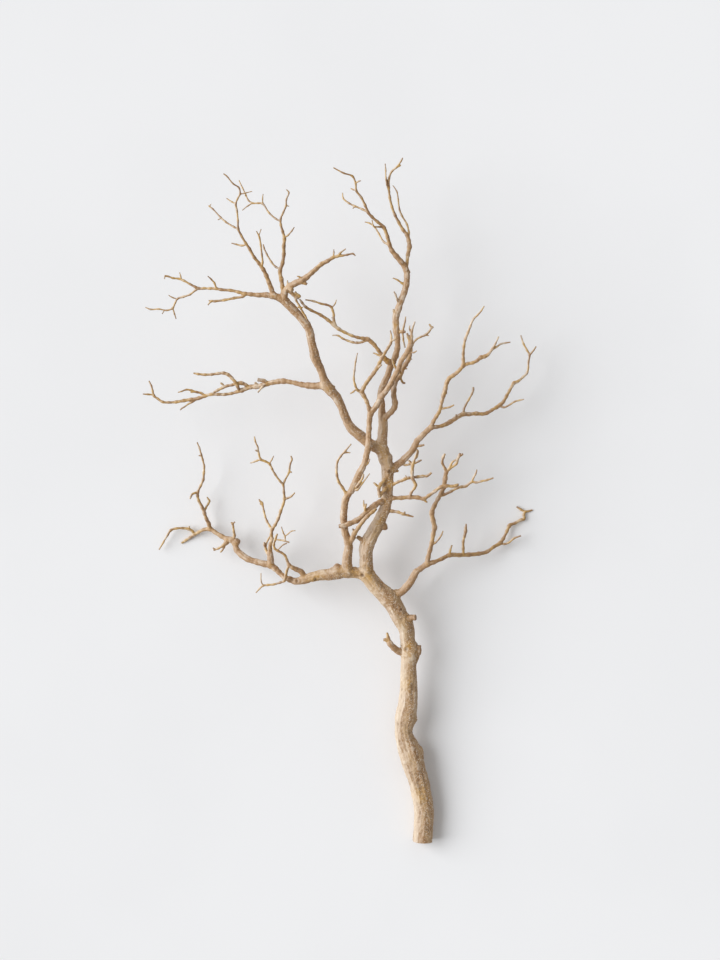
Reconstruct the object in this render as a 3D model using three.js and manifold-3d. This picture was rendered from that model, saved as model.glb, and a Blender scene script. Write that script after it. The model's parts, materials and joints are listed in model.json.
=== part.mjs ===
// A sandblasted driftwood branch, lying on the ground on its sawn butt and two of its lower limbs.
// +X is to the right and +Y is towards the tips, seen from straight above. +Z is up.
// The origin is on the ground, under the middle of the branch. Sizes are millimetres.

import * as THREE from "three";
import { mergeVertices } from "three/addons/utils/BufferGeometryUtils.js";
import Module from "manifold-3d";

// Driving dimensions.
const EYE_HEIGHT = 3200; // the paths are drawn as seen from this far above the middle height
const MIDDLE_HEIGHT = 110;
const EYE_X = 32;
const EYE_Y = 32;
const ORIGIN_X = 4.2; // the middle of the branch in the drawn frame
const ORIGIN_Y = -12;
const FLOOR_DROP = -0.11; // from the drawn ground down to the true one
const SPLIT_GAP = 0.3; // between two pieces that meet at a fork
const CLEAR_OF_FORK = 1.5; // air between a limb and its neighbours where the fork ends
const CLEAR_RUN = 5; // for how long that air has to last
const SIBLING_REACH = 40; // limbs that leave within this distance share one fork

// How finely a limb is faceted: sides round it, from a given thickness up.
const SIDES = [
  { thickness: 20, sides: 9 },
  { thickness: 9, sides: 7 },
  { thickness: 5, sides: 5 },
  { thickness: 0, sides: 4 },
];
const BEND_BASE = 1; // how far a flat side may leave the true bend
const BEND_PER_THICKNESS = 0.07; // added to that per millimetre of thickness
const THINNEST_TWIG = 3.1; // side twigs that start thinner than this are left out
const WALK = 1; // step of the walk along a limb

// Each path starts with the piece that it grows from. A name further on starts a new piece at the
// point that follows it. A path with no second name stays part of the piece that it grows from.
// A point is [x, y, height, thickness]. Heights of the first path are above the ground, and those
// of every other path are above the wood that it grows from. The first point slides onto that wood.
const TRUNK_AND_LEADER = [
  ["ground", "trunk", [132, -546, 16.6, 32], [134, -495, 19, 31], [128, -458, 22, 31],
    [119, -428, 25, 34], [113, -404, 27, 38], [105, -384, 30, 30], [102, -368, 32, 28],
    [105, -348, 34, 33], [109, -322, 37, 29], [110, -290, 41, 26], [110, -262, 45, 25],
    [111, -242, 48, 27], [108, -222, 51, 23], [105, -202, 53, 26], [95, -186, 56, 28],
    [87, -170, 58, 28], [77, -156, 60, 29],
    "leader_lower", [64, -144, 62, 26], [53, -132, 64, 25], [45, -121, 66, 23],
    [42, -108, 70, 21], [42, -92, 74, 21], [42, -78, 77, 22], [47, -64, 80, 23],
    [54, -51, 83, 22], [61, -38, 85, 20], [67, -26, 87, 19], [72, -13, 89, 18], [75, 1, 91, 18],
    "leader_middle", [76, 16, 94, 18], [76, 28, 96, 19], [76, 42, 98, 19], [75, 54, 100, 19],
    [72, 65, 102, 21], [68, 76, 104, 19], [67, 90, 106, 17], [68, 106, 108, 16.5],
    [69, 122, 110, 15.5],
    "leader_upper", [67, 140, 112, 12], [67, 152, 113, 10.5], [65, 166, 114, 10],
    [67, 178, 115, 10], [72, 190, 117, 10], [77, 201, 119, 10], [80, 211, 121, 10],
    [84, 220, 123, 10],
    "top_limb", [89, 231, 125, 9.5], [91.5, 243, 127, 9], [91.5, 257, 129, 9],
    [90, 270, 131, 10], [89, 284, 133, 10.5], [90, 296, 135, 10], [94, 307, 137, 10.5],
    [98, 320, 139, 10], [103, 333, 142, 10], [106, 345, 145, 10.5], [107, 358, 148, 9.5],
    [105, 370, 151, 9],
    "top_left_spray", [98, 381, 155, 8.5], [90, 390, 158, 8], [83, 399, 160, 7],
    [79, 409, 163, 6], [76, 421, 166, 5.5], [70, 436, 170, 5.5], [60, 445, 173, 4.5],
    [51, 453, 176, 4.5], [45, 460, 178, 4.5], [40, 472, 182, 4], [34, 484, 186, 3.5],
    [26, 495, 190, 3.5], [25, 506, 194, 3], [20, 518, 198, 3], [6, 523, 201, 2.5],
    [-11, 532, 203, 2]],
];

const TRUNK_STUBS = [
  ["trunk", [104, -246, 0, 13], [94, -242, 6, 11], [86, -236, 11, 10], [80, -230, 14, 9],
    [77, -221, 15, 5], [75, -212, 15, 4]],
  ["trunk", [80, -229, 0, 6], [74, -224, 1, 5], [69, -224, 1, 4]],
  ["trunk", [120, -254, 0, 12], [125, -244, 4, 9], [126, -233, 6, 8]],
  ["trunk", [104, -196, 0, 14], [113, -189, 8, 9], [121, -188, 12, 9]],
];

const LEADER_TWIGS = [
  ["leader_lower", [72, -18, 0, 6], [84, -18, 5, 4.6], [93, -19.5, 8, 4], [101, -22.5, 10, 4],
    [109, -24.5, 10, 3], [118, -27, 10, 2.4]],
  ["leader_lower", [102, -23, 0, 3.5], [104, -19, 3, 3]],
  ["leader_lower", [44, -70, 0, 10], [36, -65, 6, 7.5], [31, -61, 8, 5.5], [27, -59, 9, 4.5]],
  ["leader_lower", [62, -40, 0, 14], [71, -43, 0, 10], [75, -42.5, 0, 6]],
  ["leader_middle", [76, 40, 0, 7], [71, 32, 9, 5], [65, 25, 11, 5], [62, 18, 12, 5],
    [63, 10, 12, 5], [63.5, 4, 11, 4.5]],
  ["leader_middle", [62, 20, 0, 3.5], [57, 25, 1, 3], [53, 28, 1, 2]],
  ["leader_middle", [77, 24, 0, 6], [72, 17, 11, 5], [67, 11, 13, 5], [64, 6, 13, 4]],
  ["leader_middle", [72, 67, 0, 18], [77, 68, 0, 13]],
];

const TOP_SPRAYS = [
  ["top_limb", [105, 344, 0, 4], [99, 347, 3, 3], [92, 352, 5, 2.5], [84, 355.5, 6, 2]],
  ["top_limb", [96, 313, 0, 4], [92, 320, 6, 3], [89, 328, 10, 2.5], [86, 334, 12, 2]],
  ["top_limb", [107, 362, 0, 6], [112, 366, 1, 4]],
  ["top_limb", [92, 268, 0, 5], [99, 269.5, 4, 4.5], [105, 269, 6, 4]],
  ["top_limb", [100, 270, 0, 4], [102, 278, 3, 3], [104, 286, 5, 2.5], [105, 294, 6, 2]],
  ["top_limb", [100, 269, 0, 3.5], [101, 258, 0, 3], [104, 243, 0, 2.5]],
  ["top_limb", [89, 296, 0, 4], [86, 302, 3, 3], [85, 306, 4, 2]],
  ["top_left_spray", [25, 507, 0, 2.5], [30, 510, 2, 2], [34, 511, 3, 1.5]],
  ["top_left_spray", [26, 495.5, 0, 2.5], [20, 497, -2, 2], [17, 499, -3, 1.8]],
  ["top_left_spray", [45, 460, 0, 3.5], [36, 465, -4, 3], [24, 470, -8, 3], [14, 475, -11, 2.8],
    [5, 483, -14, 2.5], [4, 492, -16, 1.8]],
  ["top_left_spray", [24, 470, 0, 2.4], [20, 466, -1, 1.8]],
  ["top_left_spray", [79, 408, 0, 3.8], [70, 413, -5, 3], [62, 426, -9, 2.8],
    [55, 437, -12, 2.5], [47, 443, -14, 2.2], [39, 445, -15, 1.8]],
  ["top_left_spray", [70, 436, 0, 3.2], [63, 437, 5, 2.6], [54, 438, 9, 2.4], [51, 449, 12, 1.8]],
  ["top_limb", "top_right_spray", [106, 366, 0, 6], [107, 378, -2, 5], [108.5, 392, -4, 5.6],
    [111, 405, -6, 6.8], [110, 415, -7, 6], [107, 424, -8, 5.6], [101, 432, -8, 5],
    [94, 444, -7, 4.6], [88, 456, -6, 4.3], [83, 469, -4, 4], [79.5, 484, -2, 4],
    [78, 500, 1, 3.8], [78.5, 515, 4, 3.4], [83, 526, 7, 3.2], [91, 533, 10, 3],
    [98, 543, 13, 2.6], [100.5, 548, 15, 2.2]],
  ["top_right_spray", [91, 533, 0, 2.2], [95, 534, 1, 2], [98, 536, 1, 1.5]],
  ["top_right_spray", [78, 493, 0, 3], [75, 504, 4, 2.6], [73.5, 514, 7, 2.5],
    [73, 528, 10, 2.2], [72, 539, 12, 1.8]],
  ["top_right_spray", [109.5, 417, 0, 3.8], [110, 428, -4, 3.2], [107, 441, -8, 3],
    [99, 455, -11, 3], [95, 465, -13, 2.8], [93, 480, -15, 2.5], [91, 493, -16, 2.2],
    [84, 504, -17, 1.8]],
];

const RIGHT_LOWER = [
  ["trunk", "right_lower_limb", [86, -163, 0, 14], [92, -151, 2, 12], [100, -146, 3, 12],
    [107, -139, 4, 12.5], [113, -131, 5, 12.5], [118, -122, 5, 11], [122, -115, 5, 9.5],
    [129, -110, 5, 8.5], [139, -103, 5, 9],
    "right_floor_limb", [150, -99.5, 3, 6.5], [163, -94, -1, 6], [176, -88, -6, 7],
    [191, -88, -13, 6], [206, -87.5, -20, 6], [222, -86, -27, 6], [235, -83, -33, 5.5],
    [246, -75, -38, 5], [256, -69, -43, 6], [261, -62, -45, 5], [267, -50, -48, 4.5],
    [271, -41, -50, 5.5], [280, -37, -52, 4], [289, -32, -53, 4], [294.5, -30, -54, 4],
    [294, -24, -55, 4], [296, -19, -56, 3.5], [301, -18, -57, 2.7], [308, -16, -57.5, 2.5]],
  ["right_floor_limb", [296, -19, 0, 3], [289, -15, 0, 3], [282, -10.5, 0, 2.5]],
  ["right_floor_limb", [257, -70, 0, 3.2], [263, -70.5, 0, 3], [270, -68, 1, 3],
    [278, -61.5, 3, 3], [290, -57, 5, 2.5]],
  ["right_floor_limb", [175, -87, 0, 4.5], [176, -81, 3, 3.2], [179, -72, 6, 2.8]],
  ["right_floor_limb", [197, -86, 0, 5], [197, -77, 4, 4], [197, -66, 8, 4], [199, -58, 11, 4],
    [201, -50, 13, 5], [201, -44, 14, 3.5], [202, -38, 15, 2.8]],
  ["right_lower_limb", "right_rising_limb", [139, -103, 0, 8], [141, -92, 3, 7],
    [144, -80, 6, 7], [147, -68, 8, 6.5], [149, -55, 10, 6], [151, -44, 12, 7.5],
    [149, -33, 14, 6.5], [147, -20, 16, 7.5], [151, -9, 18, 6.5], [157, 2, 20, 6],
    [162, 11, 22, 6.5],
    "right_rising_top", [166, 21, 24, 7], [168, 34, 28, 7.5], [170, 44, 31, 5.5],
    [175, 50, 33, 4.2], [186, 58, 37, 4], [188, 65, 39, 4], [191, 71, 41, 3.8],
    [191.5, 75, 42, 3]],
  ["right_rising_limb", [149, -73, 0, 3.5], [153, -68, 2, 3], [158, -62, 4, 2.8],
    [162, -56, 6, 2.5], [165, -49, 8, 2]],
  ["right_rising_limb", "right_rising_side_twig", [160, 7, 0, 5], [166, 8.5, 1, 4.6],
    [178, 14, 4, 4], [188, 19.5, 7, 4], [194, 21, 8, 4], [201, 22, 9, 4], [211, 29, 12, 3.8],
    [218, 28, 13, 3], [226, 30, 14, 3], [235, 32, 15, 3], [246, 35.5, 17, 2.5]],
  ["right_rising_side_twig", [211, 29, 0, 3], [213, 35, 3, 2.8], [217, 42, 6, 2.5],
    [219, 49, 8, 2]],
  ["right_rising_top", [170, 44, 0, 4.2], [168, 50, 2, 4], [163.5, 60, 5, 4], [165, 68, 8, 4],
    [168, 74, 10, 3.2]],
  ["right_rising_top", [190, 70, 0, 3], [194, 72, 1, 2.8], [197, 74, 2, 2.8]],
  ["right_rising_top", [174, 49, 0, 3.2], [177, 56, 3, 3], [180, 61, 5, 3], [185, 64.5, 7, 2.5]],
];

const LEFT_LOWER = [
  ["leader_lower", "left_lower_limb", [45, -121, 0, 20], [30, -117, 1, 17], [14, -115, 2, 18],
    [-4, -116, 2, 21], [-16, -119, 1, 19], [-30, -120, -1, 16], [-44, -123, -3, 15.5],
    [-58, -127, -6, 14], [-70, -130, -8, 11], [-80, -127, -10, 9], [-89, -123, -12, 8],
    [-98, -115, -14, 8], [-104, -109, -15, 9], [-111, -104, -17, 11],
    "left_floor_limb", [-121, -102, -19, 10], [-133, -99, -22, 9], [-146, -95, -26, 9.5],
    [-157, -88, -30, 10], [-165, -80, -33, 9], [-168, -69, -36, 9], [-173, -64, -38, 9],
    [-180, -62.5, -40, 8], [-190, -57.5, -44, 6.5], [-200, -51.5, -48, 6], [-208, -46.5, -51, 7],
    [-218, -47.5, -55, 5], [-226, -51.5, -58, 4.5], [-233, -55, -61, 4.5], [-240, -60, -63, 4],
    [-247, -64.5, -64, 3.5], [-254, -69, -64.5, 3]],
  ["left_lower_limb", [0, -114, 0, 16], [-4, -108, 2, 12], [-6, -105, 3, 8]],
  ["left_floor_limb", [-168, -70, 0, 9], [-165, -67, 1, 10], [-164, -65, 2, 8]],
  ["left_floor_limb", [-171, -64, 0, 5], [-169, -57, 3, 4], [-170, -50, 6, 3.4],
    [-171, -43, 8, 3], [-172, -38, 10, 3], [-175, -35.5, 11, 2]],
  ["left_floor_limb", [-172, -38, 0, 2.4], [-170, -36.5, 1, 2], [-168, -35, 2, 1.6]],
  ["left_floor_limb", [-178, -63, 0, 7], [-182, -68, 1, 7], [-187, -72.5, 0, 4],
    [-195, -77.5, -3, 3.2], [-201, -79.5, -5, 3], [-203, -80, -5, 2.6]],
  ["left_floor_limb", [-200, -79, 0, 2.2], [-204, -76, 1, 1.8]],
  ["left_floor_limb", [-184, -70, 0, 4], [-186, -76, -2, 3], [-189, -81, -4, 2.6],
    [-192, -84, -5, 2.2]],
  ["left_floor_limb", [-233, -55, 0, 4], [-236, -50, 2, 3.6], [-242, -46.5, 4, 4],
    [-252, -45, 6, 3.2], [-262, -45.5, 7, 3.2], [-271, -48.5, 7, 3.8], [-276, -56, 7, 3],
    [-283, -68, 6, 2.7], [-290, -80, 5, 2.2]],
  ["left_floor_limb", [-242, -46.5, 0, 2.6], [-241, -41, 2, 1.8]],
  ["left_floor_limb", "left_outer_twig", [-208, -46.5, 0, 6.5], [-210, -38, 4, 6],
    [-214, -30, 8, 5.2], [-217, -21, 11, 5.2], [-221, -11, 14, 4.6], [-226, -1, 17, 4],
    [-228, 7, 19, 4], [-227.5, 13, 21, 4], [-223, 23, 24, 3.5], [-219, 33, 27, 4],
    [-218, 44, 30, 3.5], [-217.5, 54, 33, 3.3], [-220, 65, 36, 3], [-222, 72, 38, 3],
    [-225, 83, 40, 2.5], [-229, 93, 42, 2]],
  ["left_outer_twig", [-227.5, 12, 0, 3.4], [-233, 11, 2, 3], [-237, 9, 3, 2.8],
    [-239, 5, 4, 2.5], [-240, 1, 5, 2]],
  ["left_outer_twig", [-222, 71, 0, 2.5], [-227, 71, 1, 1.8]],
  ["left_outer_twig", [-217.5, -19, 0, 4], [-215, -13, -2, 3], [-211, -6, -3, 3],
    [-209, -1.5, -4, 3], [-211, 2, -3, 2.2], [-213, 5, -2, 1.6]],
];

const LEFT_RISING = [
  ["left_lower_limb", "left_rising_limb", [-111, -104, 0, 11], [-111, -93, 4, 10],
    [-112, -85, 7, 8], [-112, -78, 9, 6], [-111, -70, 12, 5.5], [-109, -62, 15, 5],
    [-110, -55, 18, 4.5], [-108.5, -47, 21, 5],
    "left_rising_right_twig", [-104, -40, 24, 4.5], [-99, -30, 27, 4.5], [-95, -18, 30, 4.5],
    [-91, -7, 32, 4], [-89, 2, 34, 4.5], [-90, 13, 37, 3.6], [-91, 24, 39, 3.5],
    [-96, 30, 41, 3.2], [-104, 41, 44, 3], [-109, 50, 46, 3], [-113, 58, 48, 3.5],
    [-120, 62, 50, 3], [-127, 65, 51, 3.8], [-130, 74, 53, 3], [-132, 85, 55, 2.6],
    [-136, 95, 57, 2.3], [-137, 102, 58, 2]],
  ["left_rising_limb", [-112, -89, 0, 5], [-116, -85, -3, 4], [-119, -78, -5, 4],
    [-118.5, -71, -6, 3], [-115, -63, -5, 2.8], [-111.5, -57, -3, 2.4]],
  ["left_rising_limb", [-119, -77, 0, 3.5], [-121.5, -71, 2, 3], [-121, -67, 3, 2.2]],
  ["left_rising_limb", "left_rising_left_twig", [-108.5, -47, 0, 4], [-113, -41, -2, 3.5],
    [-117, -34, -4, 3.3], [-120, -26, -5, 3], [-122, -17, -6, 3], [-124, -8, -7, 3],
    [-124.5, -4.5, -7, 3], [-128, -2, -7, 2.6], [-130, 2, -7, 2]],
  ["left_rising_left_twig", [-124, -8, 0, 3], [-127, -6, 0, 2.5], [-128.5, -5, 0, 2]],
  ["left_rising_right_twig", [-91, 24, 0, 3.2], [-89, 30, -2, 3], [-82, 44, -5, 3],
    [-81, 50, -6, 3], [-80, 57, -7, 2.8], [-77, 65, -8, 2.8], [-79, 71, -9, 2.2]],
  ["left_rising_right_twig", [-81, 46, 0, 2.2], [-79, 45, 1, 2], [-77, 44, 2, 1.6]],
  ["left_rising_right_twig", [-132, 78, 0, 2.5], [-134, 79, 2, 2.2], [-136, 80, 3, 1.8]],
  ["left_rising_right_twig", [-127, 65, 0, 3], [-133, 63, -2, 2.5], [-138, 61, -3, 2.2],
    [-144, 59, -4, 1.8]],
  ["left_rising_right_twig", [-113, 58, 0, 2.5], [-109, 65, 3, 2], [-106, 71, 5, 1.5]],
  ["left_rising_right_twig", [-89, 2, 0, 4], [-84, 3, 2, 3], [-78, 6, 4, 2.8], [-72, 12, 6, 2.2]],
];

const LEFT_ARCH = [
  ["left_lower_limb", "left_arch_twig", [-56, -125, 0, 10], [-62, -115, 4, 8],
    [-70, -111, 6, 7], [-76, -108, 8, 6], [-82, -103, 9, 5], [-85, -96, 10, 3.8],
    [-88, -89, 11, 3.6], [-94, -84, 12, 3.5], [-100, -81, 13, 3.5], [-105, -77, 14, 3.5],
    [-106, -71, 16, 3.5], [-104, -64, 18, 3.4], [-102.5, -59, 19, 3.2], [-100, -54, 20, 3]],
  ["left_arch_twig", [-103, -63, 0, 2.4], [-97, -64, 2, 2.2], [-90, -65, 4, 2.4],
    [-81, -68, 6, 2.4]],
  ["left_arch_twig", [-88, -65, 0, 2], [-88, -59, 2, 2], [-91, -52, 4, 2], [-94, -42, 6, 1.6]],
  ["left_arch_twig", [-88, -58, 0, 2], [-83, -54, 2, 1.8], [-78, -50, 4, 1.6],
    [-71, -49, 5, 1.4]],
  ["left_arch_twig", [-100, -81, 0, 2.2], [-95, -75, 3, 2], [-90, -71, 5, 2], [-84, -69, 6, 1.8]],
  ["left_arch_twig", [-82, -104, 0, 4.5], [-85, -113, -1, 4], [-87, -122, -2, 4.5],
    [-89, -129, -4, 4], [-96, -132, -6, 3.4], [-106, -135, -8, 3], [-116, -136, -9, 3],
    [-123, -137, -10, 3], [-129, -142, -11, 2.4], [-135, -149, -12, 1.8]],
  ["left_arch_twig", [-123, -137, 0, 2], [-126, -131, 2, 1.8], [-126.5, -116, 5, 1.4]],
];

const INNER_AND_FRONT = [
  ["left_lower_limb", "inner_limb", [12, -116, 0, 18], [11, -102, 6, 16], [12, -88, 12, 15],
    [14, -76, 16, 12.5], [12, -65, 20, 12], [9, -54, 24, 11], [7, -42, 28, 11],
    [6, -28, 31, 11], [7, -12, 34, 11], [9, 0, 37, 11], [13, 8, 40, 10],
    "front_limb", [18, 15, 42, 9.5], [22, 23, 44, 10], [27, 34, 46, 11], [31, 43, 48, 11.5],
    [36, 52, 51, 9], [40, 61, 53, 9], [42, 70, 55, 9], [44, 79, 57, 9.5], [46, 90, 60, 10],
    [46, 102, 62, 8], [46.5, 114, 64, 8], [47, 127, 66, 8], [49, 138, 68, 9], [54, 145, 70, 8.5],
    "front_right_limb", [59, 152, 71, 8.5], [63, 159, 72, 8.5], [67, 166, 73, 9],
    [72, 172, 74, 8], [77, 179, 75, 8], [82, 187, 75, 8], [86, 195, 76, 8], [90, 203, 77, 8],
    [94, 212, 79, 7], [98, 222, 82, 7], [103, 230, 84, 8], [108, 238, 86, 8], [112, 247, 87, 8],
    [113, 254, 88, 7], [114, 262, 91, 5], [115, 271, 94, 3.5], [120, 286, 98, 2.2]],
  ["inner_limb", "inner_cross_twig", [15, -72, 0, 8], [20, -61, 8, 7], [23, -54, 14, 7],
    [29, -45, 23, 6], [36, -35, 30, 6], [44, -26, 33, 6], [52, -19, 34, 5], [59, -14, 34, 4]],
  ["inner_cross_twig", [24, -52, 0, 4], [20, -46, 3, 3]],
  ["inner_limb", "hoop_twig", [11, 4, 0, 6], [9, 11, 3, 4.5], [4, 20, 6, 4.2], [-2, 29, 8, 4],
    [-5, 40, 11, 4], [-5.5, 52, 13, 3.4], [-4, 62, 15, 3.2], [1, 70, 17, 3.2], [8, 78, 18, 3],
    [18, 90, 20, 2]],
  ["hoop_twig", [5, 75, 0, 2.2], [11, 76, 0, 2], [17, 75.5, -1, 1.5]],
  ["front_limb", [21, 21, 0, 4], [26, 21, 5, 3.5], [31, 27, 7, 3.5], [36, 35, 9, 3],
    [38, 42, 8, 2.5]],
  ["front_limb", [20, 19, 0, 4], [27, 16, 4, 3], [36, 27, 7, 2.5], [48, 43, 9, 1.5]],
  ["front_limb", [38, 56, 0, 3], [44, 58, 3, 2.5], [48, 66, 6, 1.5]],
  ["front_limb", "front_left_twig", [48, 136, 0, 8], [46, 147, 3, 6.2], [43, 157, 5, 5.6],
    [38, 167, 7, 6], [35, 173, 8, 7], [38, 180, 9, 5.6], [42, 187, 10, 5.2],
    [48, 195, 11, 5.4], [54, 203, 12, 5.4], [59, 211, 13, 5.4], [63, 219, 14, 5],
    [67, 227, 15, 5], [72, 236, 16, 4.4], [77, 244, 17, 4.2], [81, 251, 18, 4],
    [82, 261, 19, 3], [80.5, 272, 20, 2]],
  ["front_left_twig", [34, 173, 0, 5], [28, 176, 3, 3.8], [24, 184, 6, 3.3], [22, 194, 9, 3],
    [23, 207, 12, 2.8], [25, 222, 15, 2.4], [28, 236, 17, 1.8]],
  ["front_left_twig", [26, 178, 0, 2.6], [21, 173, 1, 2.2], [16, 170, 2, 1.8]],
  ["front_left_twig", [59, 210, 0, 3], [63, 213, 3, 2.6], [67, 217, 5, 2]],
  ["front_left_twig", [64, 230, 0, 3], [59, 233, -2, 2.6], [52, 235.5, -3, 2]],
  ["front_left_twig", [82, 254, 0, 3.4], [87, 257, 2, 3], [91, 262, 3, 2.4]],
  ["front_right_limb", [113, 252, 0, 4.5], [109, 261, 4, 4], [107, 267, 6, 3.6]],
  ["front_right_limb", [112, 236, 0, 2.6], [118, 236, 3, 2.2], [123, 239, 5, 1.6]],
  ["front_right_limb", [114, 266, 0, 2.6], [111, 274, 3, 2], [112, 280, 5, 1.5]],
];

const BOW = [
  ["leader_middle", "bow_limb", [69, 126, 0, 9.5], [75, 134, 6, 8.5], [82, 141, 10, 8.5],
    [87, 148, 12, 8.5], [88, 156, 13, 9], [86, 166, 14, 8], [86, 176, 14, 8.2],
    [87, 186, 14, 8.2], [91, 194, 14, 8], [96, 199, 15, 6.5], [99, 205, 16, 6],
    [101, 211, 17, 6], [105, 217, 18, 7], [109, 223, 19, 6.5], [111.5, 231, 20, 6],
    [113, 240, 21, 5.5], [115, 248, 23, 4], [122, 257, 26, 3], [129, 261, 28, 3],
    [136, 264, 30, 3.2], [142, 269, 32, 3], [147, 276, 34, 3], [149.5, 277, 35, 2.6]],
  ["bow_limb", [97, 200, 0, 4], [94, 206, 5, 3.6], [90, 210, 8, 3.5], [87, 215, 9, 3.4],
    [85, 221, 10, 3], [84, 227, 10, 2.8]],
  ["bow_limb", [98, 197, 0, 3.5], [99, 190, -3, 3], [102, 187, -4, 2.6], [105, 188, -4, 2]],
  ["bow_limb", [102, 210, 0, 2.6], [108, 210, 2, 2]],
  ["bow_limb", [112, 226, 0, 2.6], [115.5, 225, 1, 2]],
  ["bow_limb", [147, 275, 0, 2.6], [144.5, 279, 1, 2.6], [142, 282, 2, 2.4]],
  ["bow_limb", [136, 264, 0, 2.4], [143, 263, 2, 1.8]],
];

const LONG_CROSSING = [
  ["leader_upper", "long_crossing_twig", [83, 217, 0, 9], [76, 222, 4, 9], [71, 227, 7, 8],
    [66, 233, 10, 6], [61, 240, 13, 5.4], [55, 248, 16, 5.6], [50, 253, 18, 6],
    [44, 257, 20, 7], [36, 258.5, 22, 5], [28, 260, 24, 4.2], [19, 263, 26, 4],
    [8, 268, 29, 4.2], [-2, 273.5, 32, 5], [-10, 280, 34, 5], [-19, 288, 37, 5],
    [-31, 296, 40, 4.4], [-47, 304, 44, 4.2], [-55, 309, 46, 3.8], [-61, 316, 47, 3.2],
    [-65, 322, 48, 2.5]],
  ["long_crossing_twig", [44, 255, 0, 4], [35, 252.5, -2, 3.4], [27, 251.5, -3, 3.4],
    [20, 252.5, -4, 3.2], [12, 255, -5, 3], [4, 258.5, -5, 2.8], [-3, 263, -5, 2.4],
    [-13, 263.5, -5, 1.4]],
  ["long_crossing_twig", [-6, 278, 0, 4.6], [-10, 288, 3, 4], [-10, 296, 5, 3.6],
    [-12, 304, 8, 3.5], [-15, 309.5, 9, 3.4], [-22, 312.5, 10, 3.2], [-30, 314, 11, 3],
    [-42, 318, 13, 2.8], [-56, 320.5, 15, 2.2]],
  ["long_crossing_twig", [-12, 308, 0, 2.4], [-8, 314, 2, 2], [-5.5, 321, 4, 1.4]],
  ["long_crossing_twig", [-10, 290, 0, 2.2], [-14, 292.5, 1, 1.6]],
];

const MAIN_LEFT = [
  ["leader_middle", "main_left_limb", [67, 80, 0, 19], [58, 84, 2, 19], [50, 88, 3, 18.5],
    [42, 94, 4, 17.5], [35, 100, 6, 17.5], [28, 106, 9, 17.5], [20, 113, 12, 16],
    [14, 121, 15, 15], [10, 130, 18, 14], [6, 139, 21, 14], [3, 148, 24, 13.5],
    [-2, 158, 27, 13.5], [-7, 167, 30, 15], [-14, 174, 33, 16.5], [-20, 182, 36, 16.5],
    [-25, 191, 39, 14],
    "main_left_upper", [-28, 201, 42, 12.5], [-32, 211, 45, 12.5], [-37, 221, 48, 13.5],
    [-41, 231, 50, 15.5], [-43, 241, 53, 14], [-45.5, 251, 55, 12.5], [-47, 261, 57, 12.5],
    [-49, 270, 59, 13], [-54, 281, 62, 13.5], [-61, 290, 65, 12.5], [-67, 297, 67, 13],
    [-74, 304, 69, 14.5], [-82, 312, 72, 15], [-89, 319, 74, 15], [-96, 323, 76, 13],
    [-108, 326.5, 77, 9.5],
    "upper_left_limb", [-118, 328, 77, 8], [-130, 328, 76, 7],
    [-143, 329, 75, 6], [-152, 330, 74, 5.5], [-162, 332.5, 73, 4.8], [-175, 335.5, 71, 4.5],
    [-190, 336.5, 69, 4.3], [-198, 338, 68, 4.3], [-208, 338.5, 66, 3.8], [-218, 338.5, 64, 3.8],
    [-226, 338.5, 62, 4.2], [-232, 341, 62, 3.6], [-240, 345.5, 62, 3.2], [-250, 351, 62, 3.2],
    [-258, 354, 62, 3], [-267, 355, 63, 3], [-276, 358, 64, 2.6], [-281, 359, 65, 2.2]],
  ["main_left_limb", [-12, 177, 0, 5], [-8, 183, 1, 2]],
];

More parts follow.
